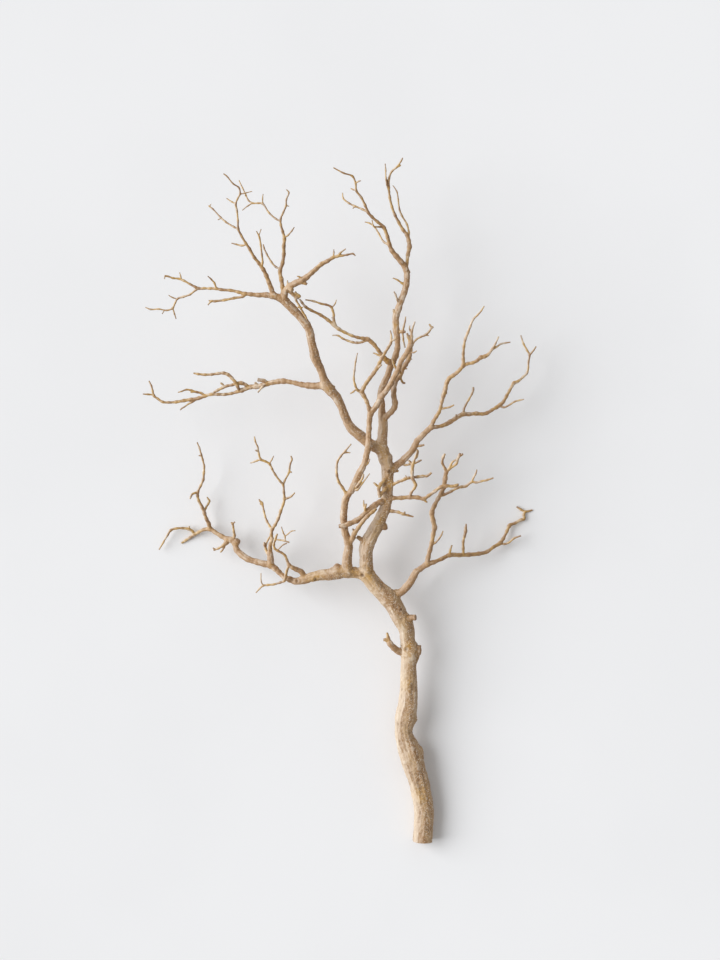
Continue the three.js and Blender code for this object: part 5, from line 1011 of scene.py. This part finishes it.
def beside_spot(points, x, y, size):
    """How far each point is beside a drawn spot, as a share of the spot's radius."""
    return np.linalg.norm(points[:, :2] + ORIGIN - (x, y), axis=1) / size


def knots_at(points, out):
    """Depth of the knots, and how dark they are, at each point."""
    depth, dark = np.zeros(len(points)), np.zeros(len(points))
    for x, y, size in KNOTS:
        beside = beside_spot(points, x, y, size)
        upper = out[:, 2] > 0
        pit = np.exp(-((beside * PIT_NARROWNESS) ** 2)) * upper
        rim = np.exp(-(((beside - RIM_AT) * RIM_NARROWNESS) ** 2)) * upper
        depth += size * (KNOT_DEPTH * pit - KNOT_RIM * KNOT_DEPTH * rim)
        dark = np.maximum(dark, pit)
    return depth, dark


def gold_at(points):
    gold = np.zeros(len(points))
    for x, y, size in GOLDEN:
        gold = np.maximum(gold, np.exp(-(beside_spot(points, x, y, size) ** 2)))
    return gold


def relief(around):
    """Height of the weathered surface over the smooth one, and the same as a share of its range."""
    height = np.zeros(len(around.radius))
    share = np.zeros(len(around.radius))
    for seed, kind in enumerate(RELIEF):
        cell = (kind["across"], kind["across"], kind["along"])
        wave = noise(around.grain, cell, seed + 1)
        strength = np.clip(around.radius / kind["full_radius"], LEAST_RELIEF, 1)
        height += wave * kind["depth"] * strength
        share += wave
    return height, share / math.sqrt(len(RELIEF))


def weather(mesh):
    points, out = positions(mesh), directions(mesh)
    around = Around(points, swell_near(points))
    height, _ = relief(around)
    depth, _ = knots_at(points, out)
    points += out * (height - depth)[:, None]
    points[:, 2] = np.maximum(points[:, 2], 0)
    move_to(mesh, points)


# Ends of limbs.
END_REACH = 2  # how far an end reaches, in radii
END_MARGIN = 1  # and in millimetres more
FLATTENED = 0.85  # share of the wood past a break that is pushed back
BREAK_SLACK = 0.1  # still fully pale this far before the break
BREAK_FADE = 0.5  # no longer pale this far before that
PITH_SPREAD = 0.42  # width of its dark middle, in radii
TIP_REACH = 1.6  # how far the darkness of a tip reaches, in radii
TIP_FADE_END = 1.6  # how many such reaches from the end the darkness is gone


def blunt_ends():
    """The limbs that end in a flat break, free of all other wood."""
    ends = []
    for limb in LIMBS[1:]:
        end, radius = limb.points[-1], limb.radii[-1]
        if radius < BLUNT_FROM:
            continue
        room = [
            (np.linalg.norm(other.points - end, axis=1) - other.radii).min()
            for other in LIMBS
            if other is not limb
        ]
        if min(room) > radius:
            ends.append(limb)
    return ends


def past_break(points, limb):
    """How far each point near the end of a limb is past its break, and how far beside its axis."""
    offset = points - limb.points[-1]
    past = offset @ limb.ahead[-1]
    beside = np.linalg.norm(offset - past[:, None] * limb.ahead[-1], axis=1) / limb.radii[-1]
    past -= BLUNT_AT * limb.radii[-1]
    reach = END_REACH * limb.radii[-1] + END_MARGIN
    past[np.linalg.norm(offset, axis=1) > reach] = -math.inf
    return past, beside


def break_ends(mesh):
    """Pushes the round tips of the thicker limbs back to a flat break."""
    points = positions(mesh)
    for limb in blunt_ends():
        past, _ = past_break(points, limb)
        points -= FLATTENED * np.maximum(past, 0)[:, None] * limb.ahead[-1]
    move_to(mesh, points)


def breaks_at(points):
    """Where the pale broken wood shows, and where its dark middle is."""
    pale, pith = np.zeros(len(points)), np.zeros(len(points))
    for limb in blunt_ends():
        past, beside = past_break(points, limb)
        face = np.clip(1 + (past + BREAK_SLACK) / BREAK_FADE, 0, 1)
        pale = np.maximum(pale, face)
        pith = np.maximum(pith, face * np.exp(-((beside / PITH_SPREAD) ** 2)))
    return pale, pith


def tip_darkness(points):
    """How near each point is to the end of a limb, from 0 to 1."""
    dark = np.zeros(len(points))
    for limb in LIMBS[1:]:
        reach = TIP_REACH * limb.radii[-1] + END_MARGIN
        apart = np.linalg.norm(points - limb.points[-1], axis=1)
        dark = np.maximum(dark, np.clip(TIP_FADE_END - apart / reach, 0, 1))
    return dark


def saw_butt(mesh, place_of_cut, ahead):
    """Saws the spare length off the trunk, and closes it with a fan."""
    made = bmesh.new()
    made.from_mesh(mesh)
    cut = bmesh.ops.bisect_plane(
        made,
        geom=[*made.verts, *made.edges, *made.faces],
        plane_co=place_of_cut,
        plane_no=-Vector(ahead),
        clear_outer=True,
    )
    rim = [one for one in cut["geom_cut"] if isinstance(one, bmesh.types.BMEdge)]
    (face,) = bmesh.ops.contextual_create(made, geom=rim)["faces"]
    bmesh.ops.poke(made, faces=[face])
    bmesh.ops.recalc_face_normals(made, faces=made.faces)
    made.to_mesh(mesh)
    made.free()


# Division into pieces

PINCH_ROUNDS = 12  # tries at opening the places where a piece touches itself


def corners_of(mesh):
    """Corners of every face, and the number of corners of each."""
    sizes = np.empty(len(mesh.polygons), np.int32)
    mesh.polygons.foreach_get("loop_total", sizes)
    corners = np.empty(len(mesh.loops), np.int32)
    mesh.loops.foreach_get("vertex_index", corners)
    return corners, sizes


def neighbours_of(mesh, sizes):
    """For every face, the faces beyond its edges."""
    edge = np.empty(len(mesh.loops), np.int32)
    mesh.loops.foreach_get("edge_index", edge)
    face = np.repeat(np.arange(len(sizes)), sizes)
    faces_on_edge = [[] for _ in mesh.edges]
    for one_edge, one_face in zip(edge.tolist(), face.tolist()):
        faces_on_edge[one_edge].append(one_face)
    beyond = [[] for _ in sizes]
    for faces in faces_on_edge:
        for one in faces:
            beyond[one] += [other for other in faces if other != one]
    return beyond


def gather_islands(label, beyond):
    """Gives every stray patch of a piece to the piece round it, so that each piece is one patch."""
    label = label.tolist()
    while True:
        patch = [-1] * len(label)
        patches = []
        for seed in range(len(label)):
            if patch[seed] >= 0:
                continue
            members, patch[seed] = [seed], len(patches)
            for face in members:
                for other in beyond[face]:
                    if patch[other] < 0 and label[other] == label[seed]:
                        patch[other] = len(patches)
                        members.append(other)
            patches.append(members)
        largest = {}
        for members in patches:
            name = label[members[0]]
            if len(members) > len(largest.get(name, ())):
                largest[name] = members
        strays = [members for members in patches if largest[label[members[0]]] is not members]
        if not strays:
            return np.array(label)
        for members in strays:
            around = Counter(
                label[other]
                for face in members
                for other in beyond[face]
                if patch[other] != patch[face]
            )
            for face in members:
                label[face] = around.most_common(1)[0][0]


def edges_of_patch(faces_corners):
    """The directed edges round a patch of faces: those whose opposite isn't in the patch."""
    directed = set()
    for corners in faces_corners:
        directed.update(zip(corners, corners[1:] + corners[:1]))
    return [(a, b) for a, b in directed if (b, a) not in directed]


def loops_of(edges):
    """Chains directed edges into closed loops."""
    following = dict(edges)
    loops = []
    while following:
        start, corner = following.popitem()
        loop = [start]
        while corner != start:
            loop.append(corner)
            corner = following.pop(corner)
        loops.append(loop)
    return loops


def pinched(faces, label, piece):
    """Corners at which a patch touches itself, so that its edge can't be chained."""
    members = np.flatnonzero(label == piece)
    leaving = Counter(a for a, _ in edges_of_patch([faces[face] for face in members]))
    return {corner for corner, times in leaving.items() if times > 1}


def open_pinches(faces, label, beyond):
    """Relabels the faces at pinched corners until every patch has a plain edge."""
    faces_at = {}
    for index, corners in enumerate(faces):
        for corner in corners:
            faces_at.setdefault(corner, []).append(index)
    for _ in range(PINCH_ROUNDS):
        bad = {c: p for p in range(len(NAMES)) for c in pinched(faces, label, p)}
        if not bad:
            return label
        for corner, piece in bad.items():
            label[faces_at[corner]] = piece
        label = gather_islands(label, beyond)
    raise ValueError("the skin can't be divided at " + str(sorted(bad.values())))


def divide(mesh, piece_of_vertex):
    """The patch of faces of every piece."""
    corners, sizes = corners_of(mesh)
    starts = np.append(0, np.cumsum(sizes))[:-1]
    flat = corners.tolist()
    faces = [flat[start : start + size] for start, size in zip(starts.tolist(), sizes.tolist())]
    beyond = neighbours_of(mesh, sizes)
    label = gather_islands(piece_of_vertex[corners[starts]], beyond)
    return faces, open_pinches(faces, label, beyond)


def build_piece(name, faces, points, normals, looks):
    """One closed piece: its patch of skin, and a flat cap over each place where it was divided."""
    used = sorted({corner for face in faces for corner in face})
    new_index = {corner: index for index, corner in enumerate(used)}
    piece_points = points[used]
    piece_looks = {key: values[used] for key, values in looks.items()}
    piece_normals = normals[used]
    piece_faces = [[new_index[corner] for corner in face] for face in faces]
    skin_faces = len(piece_faces)
    for loop in loops_of(edges_of_patch(piece_faces)):
        centre = len(piece_points)
        piece_points = np.vstack([piece_points, piece_points[loop].mean(axis=0)])
        piece_normals = np.vstack([piece_normals, piece_normals[loop[:1]]])
        piece_looks = {
            key: np.concatenate([values, values[loop].mean(axis=0, keepdims=True)])
            for key, values in piece_looks.items()
        }
        piece_faces += [[b, a, centre] for a, b in zip(loop, loop[1:] + loop[:1])]
    mesh = mesh_from(name, piece_points * MM, piece_faces)
    for key, values in piece_looks.items():
        kind = "FLOAT_VECTOR" if values.ndim == 2 else "FLOAT"
        layer = mesh.attributes.new(key, kind, "POINT")
        layer.data.foreach_set("vector" if values.ndim == 2 else "value", values.ravel())
    corners, sizes = corners_of(mesh)
    face_normals = np.empty(len(sizes) * 3, np.float32)
    mesh.polygon_normals.foreach_get("vector", face_normals)
    at_corners = piece_normals[corners]
    cap_corners = slice(sizes[:skin_faces].sum(), None)
    at_corners[cap_corners] = np.repeat(face_normals.reshape(-1, 3), sizes, axis=0)[cap_corners]
    mesh.normals_split_custom_set(at_corners.tolist())
    piece = bpy.data.objects.new(name, mesh)
    bpy.context.collection.objects.link(piece)
    return piece


# Materials


def colour(code):
    """A colour written as 0xRRGGBB, as Blender wants it."""
    parts = [(code >> shift & 255) / 255 for shift in (16, 8, 0)]
    # the sRGB curve
    linear = [p / 12.92 if p <= 0.04045 else ((p + 0.055) / 1.055) ** 2.4 for p in parts]
    return (*linear, 1)


SAND = colour(0xC4A680)
TAN = colour(0xA98259)
# painted highlight colour, laid on the side that faces the window light
PAINTED_HIGHLIGHT = colour(0xE4DACB)
CREAM = colour(0xF3E8D6)
OCHRE = colour(0xBE9145)
BROWN = colour(0x785A40)
RUSSET = colour(0x8A623F)
LIMB_TAUPE = colour(0xAF8A63)
TWIG_GOLD = colour(0xCDA663)
TWIG_BROWN = colour(0xA17B55)
KNOT = colour(0x56402F)
FLOOR = colour(0xEEEFF1)
FLOOR_SHADE = colour(0xECEDEF)

# Patterns that follow the grain, with scales for millimetres. They are drawn out along it.
STREAKS = {"along": 0.09, "scale": 0.55, "detail": 4, "roughness": 0.6, "distortion": 0.3}
FIBRES = {"along": 0.06, "scale": 1.9, "detail": 3, "roughness": 0.6}
PATCHES = {"along": 0.3, "scale": 0.07, "detail": 3, "roughness": 0.6, "distortion": 0.6}

# Patterns that follow the place, with scales for metres.
BLOTCHES = {"scale": 75, "detail": 3, "roughness": 0.65}
SPECKLE = {"scale": 520, "detail": 2, "roughness": 0.6}
FUZZ = {"scale": 420, "detail": 3, "roughness": 0.6}
CLOUDS = {"scale": 2.2, "detail": 3, "roughness": 0.5}
GROWTH_RINGS = {"Scale": 210.0, "Distortion": 2.6, "Detail": 3.0}

# Each of these turns a value into a share: from low to high it goes smoothly from start to end.
# Start is 0 and end is 1 where they aren't given. Thicknesses are millimetres.
PATCH_EDGE = {"low": 0.36, "high": 0.64}
BLOTCH_EDGE = {"low": 0.4, "high": 0.6}
TRUNK_TO_LIMB = {"low": 22, "high": 12}
LIMB_TO_TWIG = {"low": 9, "high": 3.5}
STREAK_TINT = {"low": 0.5, "high": 0.7, "end": 0.5}
FIBRE_TINT = {"low": 0.54, "high": 0.68, "end": 0.4}
GOLD_BREAKUP = {"low": 0.34, "high": 0.56}
RAISED_TINT = {"low": 0.1, "high": 0.8, "end": 0.45}
HOLLOW_TINT = {"low": -0.1, "high": -0.7, "end": 0.5}
# painted shade and painted highlight, by how squarely the wood faces the window light
PAINTED_SHADE_SIDE = {"low": 0.3, "high": -0.7, "end": 0.28}
PAINTED_HIGHLIGHT_SIDE = {"low": 0.35, "high": 0.98, "end": 0.62}
PAINTED_HIGHLIGHT_IF_THICK = {"low": 9, "high": 20, "start": 0.45, "end": 0.8}
PAINTED_HIGHLIGHT_IF_THIN = {"low": 8, "high": 3.5}
CHALK_GRAINS = {"low": 0.51, "high": 0.67}
CHALK_PATCHES = {"low": 0.3, "high": 0.55}
CHALK_BY_THICKNESS = {"low": 4, "high": 22, "start": 0.2, "end": 0.75}
CHALK_BY_SIDE = {"low": 0.75, "high": 0.2, "start": 0.15, "end": 1}
BARK_ROUGHNESS = {"low": 0.3, "high": 0.7, "start": 0.66, "end": 0.9}
SAWN_ROUGHNESS = {"low": 0.3, "high": 0.7, "start": 0.75, "end": 0.92}
HEARTWOOD = {"low": 9 * MM, "high": 4 * MM, "end": 0.5}
RING_TINT = {"low": 0.3, "high": 0.9, "end": 0.38}
FUZZ_TINT = {"low": 0.5, "high": 0.7, "end": 0.5}
CLOUD_EDGE = {"low": 0.35, "high": 0.65}

# How strongly each look of the skin shows in its colour.
GOLD_SHARE = 0.8
FORK_SHARE = 0.55
KNOT_SHARE = 0.7
TIP_SHARE = 0.2
BROKEN_SHARE = 0.8
PITH_SHARE = 0.6

# Depths of the finest relief.
STREAK_DEPTH = 0.6 * MM
FIBRE_DEPTH = 0.35 * MM
SPECKLE_DEPTH = 0.2 * MM
RING_DEPTH = 0.2 * MM


class Finish:
    """A material under construction."""

    def __init__(self, name):
        self.material = bpy.data.materials.new(name)
        self.material.use_nodes = True
        self.tree = self.material.node_tree
        self.shader = self.tree.nodes["Principled BSDF"]

    def add(self, kind, inputs=(), **settings):
        node = self.tree.nodes.new("ShaderNode" + kind)
        for key, value in settings.items():
            setattr(node, key, value)
        for key, value in dict(inputs).items():
            self.feed(node.inputs[key], value)
        return node

    def feed(self, socket, value):
        if isinstance(value, bpy.types.NodeSocket):
            self.tree.links.new(value, socket)
        else:
            socket.default_value = value

    def attribute(self, name, output="Fac"):
        return self.add("Attribute", attribute_name=name).outputs[output]

    def position(self):
        return self.add("NewGeometry").outputs["Position"]

    def noise(self, where, scale, detail, roughness, distortion=0.0, along=1.0):
        """Noise, drawn out in its third direction where its scale along that is under 1."""
        if along < 1:
            inputs = {0: where, 1: (1, 1, along)}
            where = self.add("VectorMath", inputs, operation="MULTIPLY").outputs[0]
        inputs = {"Vector": where, "Scale": scale, "Detail": detail, "Roughness": roughness}
        inputs["Distortion"] = distortion
        return self.add("TexNoise", inputs).outputs["Fac"]

    def ranged(self, value, low, high, start=0.0, end=1.0):
        inputs = {"Value": value, "From Min": low, "From Max": high}
        inputs.update({"To Min": start, "To Max": end})
        return self.add("MapRange", inputs, interpolation_type="SMOOTHSTEP").outputs["Result"]

    def math(self, operation, a, b):
        return self.add("Math", {0: a, 1: b}, operation=operation).outputs[0]

    def product(self, first, *others):
        for other in others:
            first = self.math("MULTIPLY", first, other)
        return first

    def mixed(self, factor, under, over):
        inputs = {"Factor": factor, "A": under, "B": over}
        node = self.add("Mix", data_type="RGBA")
        for socket in node.inputs:
            if socket.name in inputs and socket.enabled:
                self.feed(socket, inputs[socket.name])
        return next(socket for socket in node.outputs if socket.enabled)

    def marked(self, base, look, share, over):
        """The base colour with another one over it where the skin has the look."""
        return self.mixed(self.product(self.attribute(look), share), base, over)

    def bumped(self, height, depth, under=None):
        inputs = {"Height": height, "Distance": depth, "Strength": 1.0}
        if under is not None:
            inputs["Normal"] = under
        return self.add("Bump", inputs).outputs["Normal"]


def weathered_wood():
    """Dry sandblasted wood: sand and cream with a streaked grain, golden in the forks and twigs,
    with a painted highlight on the side towards the window light and painted shade on the side away
    from it.
    """
    wood = Finish("weathered_wood")
    grain = wood.attribute("grain", "Vector")  # across, across and along, in millimetres
    position = wood.position()
    thickness = wood.attribute("thickness")
    relief_level = wood.attribute("relief")
    painted_light_facing = wood.attribute("painted_light_facing")
    streaks = wood.noise(grain, **STREAKS)
    fibres = wood.noise(grain, **FIBRES)
    patches = wood.noise(grain, **PATCHES)
    blotches = wood.noise(position, **BLOTCHES)
    speckle = wood.noise(position, **SPECKLE)

    in_patch = wood.ranged(patches, **PATCH_EDGE)
    trunk = wood.mixed(in_patch, SAND, TAN)
    limb = wood.mixed(in_patch, LIMB_TAUPE, TAN)
    twig = wood.mixed(wood.ranged(blotches, **BLOTCH_EDGE), TWIG_BROWN, TWIG_GOLD)
    base = wood.mixed(wood.ranged(thickness, **TRUNK_TO_LIMB), trunk, limb)
    base = wood.mixed(wood.ranged(thickness, **LIMB_TO_TWIG), base, twig)

    base = wood.mixed(wood.ranged(streaks, **STREAK_TINT), base, RUSSET)
    base = wood.mixed(wood.ranged(fibres, **FIBRE_TINT), base, BROWN)
    in_fork = wood.product(wood.attribute("fork"), FORK_SHARE)
    golden = wood.math("MAXIMUM", wood.product(wood.attribute("gold"), GOLD_SHARE), in_fork)
    golden = wood.product(golden, wood.ranged(blotches, **GOLD_BREAKUP))
    base = wood.mixed(golden, base, OCHRE)

    # paler cream on the raised relief
    base = wood.mixed(wood.ranged(relief_level, **RAISED_TINT), base, CREAM)
    # painted shade: russet on the side that faces away from the window light
    base = wood.mixed(wood.ranged(painted_light_facing, **PAINTED_SHADE_SIDE), base, RUSSET)
    # painted highlight: pale cream on the side that faces the window light, strongest on the trunk
    # and the thin twigs
    if_thick = wood.ranged(thickness, **PAINTED_HIGHLIGHT_IF_THICK)
    if_thin = wood.ranged(thickness, **PAINTED_HIGHLIGHT_IF_THIN)
    highlight_by_thickness = wood.math("MAXIMUM", if_thick, if_thin)
    painted_highlight = wood.product(wood.ranged(painted_light_facing, **PAINTED_HIGHLIGHT_SIDE), highlight_by_thickness)
    base = wood.mixed(painted_highlight, base, PAINTED_HIGHLIGHT)
    # browner in the hollows of the relief
    base = wood.mixed(wood.ranged(relief_level, **HOLLOW_TINT), base, BROWN)
    chalky = wood.product(
        wood.ranged(speckle, **CHALK_GRAINS),
        wood.ranged(patches, **CHALK_PATCHES),
        wood.ranged(thickness, **CHALK_BY_THICKNESS),
        # the chalky speckle is the wood's own, but it fades on the side that gets the painted
        # highlight
        wood.ranged(painted_light_facing, **CHALK_BY_SIDE),
    )
    base = wood.mixed(chalky, base, CREAM)
    base = wood.marked(base, "knot", KNOT_SHARE, KNOT)
    base = wood.marked(base, "tip", TIP_SHARE, BROWN)
    base = wood.marked(base, "broken", BROKEN_SHARE, CREAM)
    base = wood.marked(base, "pith", PITH_SHARE, BROWN)

    wood.feed(wood.shader.inputs["Base Color"], base)
    wood.feed(wood.shader.inputs["Roughness"], wood.ranged(fibres, **BARK_ROUGHNESS))
    wood.shader.inputs["Specular IOR Level"].default_value = 0.28
    wood.shader.inputs["Sheen Weight"].default_value = 0.06
    wood.shader.inputs["Sheen Roughness"].default_value = 0.55
    coarse = wood.bumped(streaks, STREAK_DEPTH)
    fine = wood.bumped(fibres, FIBRE_DEPTH, coarse)
    wood.feed(wood.shader.inputs["Normal"], wood.bumped(speckle, SPECKLE_DEPTH, fine))
    return wood.material


def sawn_wood(middle):
    """The sawn end of the trunk: pale, with growth rings round a darker heart."""
    wood = Finish("sawn_wood")
    position = wood.position()
    inputs = {0: position, 1: middle}
    from_middle = wood.add("VectorMath", inputs, operation="SUBTRACT").outputs[0]
    inputs = {"Vector": from_middle, **GROWTH_RINGS}
    rings = wood.add("TexWave", inputs, wave_type="RINGS", rings_direction="Y").outputs["Fac"]
    fuzz = wood.noise(position, **FUZZ)
    from_pith = wood.add("VectorMath", {0: from_middle}, operation="LENGTH").outputs["Value"]
    base = wood.mixed(wood.ranged(from_pith, **HEARTWOOD), SAND, TAN)
    base = wood.mixed(wood.ranged(rings, **RING_TINT), base, RUSSET)
    base = wood.mixed(wood.ranged(fuzz, **FUZZ_TINT), base, BROWN)
    wood.feed(wood.shader.inputs["Base Color"], base)
    wood.feed(wood.shader.inputs["Roughness"], wood.ranged(fuzz, **SAWN_ROUGHNESS))
    wood.feed(wood.shader.inputs["Normal"], wood.bumped(rings, RING_DEPTH))
    return wood.material


def pale_floor():
    """A plain light floor with hardly any variation."""
    floor = Finish("pale_floor")
    clouds = floor.noise(floor.position(), **CLOUDS)
    base = floor.mixed(floor.ranged(clouds, **CLOUD_EDGE), FLOOR, FLOOR_SHADE)
    floor.feed(floor.shader.inputs["Base Color"], base)
    floor.shader.inputs["Roughness"].default_value = 0.85
    return floor.material


# Building the branch

ON_CUT = 0.05 * MM  # how near the plane of the saw cut the sawn end's faces lie
SQUARE_TO_CUT = 0.99  # how squarely they face away from the trunk, where 1 is exactly


def whole_skin():
    """The weathered skin of the whole branch as one mesh, with its butt sawn square."""
    skin = rough_skin(LIMBS)
    settle(skin)
    weather(skin)
    break_ends(skin)
    saw_butt(skin, BUTT, BUTT_AHEAD)
    return skin


def looks_of(points, normals, around):
    """What the wood's material reads at each corner of the skin."""
    _, relief_share = relief(around)
    _, knot = knots_at(points, normals)
    broken, pith = breaks_at(points)
    return {
        "grain": around.grain,
        "thickness": 2 * around.radius,
        "fork": around.fork,
        "relief": relief_share,
        "knot": knot,
        "gold": gold_at(points),
        "tip": tip_darkness(points),
        # how squarely each corner faces the window light, which sets the painted highlight and the
        # painted shade
        "painted_light_facing": normals @ PAINTED_LIGHT_SIDE,
        "broken": broken,
        "pith": pith,
    }


def finish_butt(trunk, finish):
    """Gives the faces of the saw cut their own finish."""
    trunk.data.materials.append(finish)
    ahead = Vector(BUTT_AHEAD)
    for face in trunk.data.polygons:
        from_cut = (Vector(BUTT * MM) - face.center).dot(ahead)
        if abs(from_cut) < ON_CUT and face.normal.dot(ahead) < -SQUARE_TO_CUT:
            face.material_index = 1


def build_branch():
    skin = whole_skin()
    points, normals = positions(skin), directions(skin)
    around = Around(points, swell_near(points))
    looks = looks_of(points, normals, around)
    faces, label = divide(skin, around.piece)
    bpy.data.meshes.remove(skin)
    wood_finish = weathered_wood()
    sawn_finish = sawn_wood(tuple(BUTT * MM))
    for index, name in enumerate(NAMES):
        patch = [faces[face] for face in np.flatnonzero(label == index)]
        piece = build_piece(name + "_skin", patch, points, normals, looks)
        piece.data.materials.append(wood_finish)
        if name == "trunk":
            finish_butt(piece, sawn_finish)
        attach(piece, "root")
        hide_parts(name)


# Floor, light and camera

FLOOR_SIZE = 80.0
PICTURE_HEIGHT = 1.536  # of the drawn frame, at the middle height
SENSOR_HEIGHT = 36.0  # millimetres
WINDOW_PLACE = (-2.7, 0.6, 2.0)  # only its direction from the branch counts
WINDOW_SPREAD = math.radians(50)
WINDOW_STRENGTH = 3.15
WINDOW_COLOUR = (0.985, 0.99, 1.0)
SKY_STRENGTH = 0.42
SKY_COLOUR = (1, 0.985, 0.965, 1)


def build_floor():
    half = FLOOR_SIZE / 2
    corners = [(-half, -half, 0), (half, -half, 0), (half, half, 0), (-half, half, 0)]
    floor = bpy.data.objects.new("floor", mesh_from("floor", corners, [(0, 1, 2, 3)]))
    bpy.context.collection.objects.link(floor)
    floor.data.materials.append(pale_floor())


def build_window_light():
    """Soft daylight from the left of the picture, the same all over the floor."""
    light = bpy.data.lights.new("window", "SUN")
    light.angle = WINDOW_SPREAD
    light.energy = WINDOW_STRENGTH
    light.color = WINDOW_COLOUR
    window = bpy.data.objects.new("window", light)
    window.location = WINDOW_PLACE
    window.rotation_euler = (-Vector(WINDOW_PLACE)).to_track_quat("-Z", "Y").to_euler()
    bpy.context.collection.objects.link(window)


def build_sky():
    world = bpy.data.worlds.new("studio")
    world.use_nodes = True
    background = world.node_tree.nodes["Background"]
    background.inputs["Color"].default_value = SKY_COLOUR
    background.inputs["Strength"].default_value = SKY_STRENGTH
    bpy.context.scene.world = world


def build_camera():
    """Looks straight down from the place that the paths are drawn from."""
    camera = bpy.data.cameras.new("camera")
    camera.sensor_fit = "VERTICAL"
    camera.sensor_height = SENSOR_HEIGHT
    camera.lens = SENSOR_HEIGHT * EYE_HEIGHT * MM / PICTURE_HEIGHT
    item = bpy.data.objects.new("camera", camera)
    height = (EYE_HEIGHT + MIDDLE_HEIGHT - FLOOR_DROP) * MM
    item.location = (*((EYE - ORIGIN) * MM), height)
    bpy.context.collection.objects.link(item)
    bpy.context.scene.camera = item


build_branch()
build_floor()
build_window_light()
build_sky()
build_camera()
bpy.context.scene.view_settings.view_transform = "Standard"
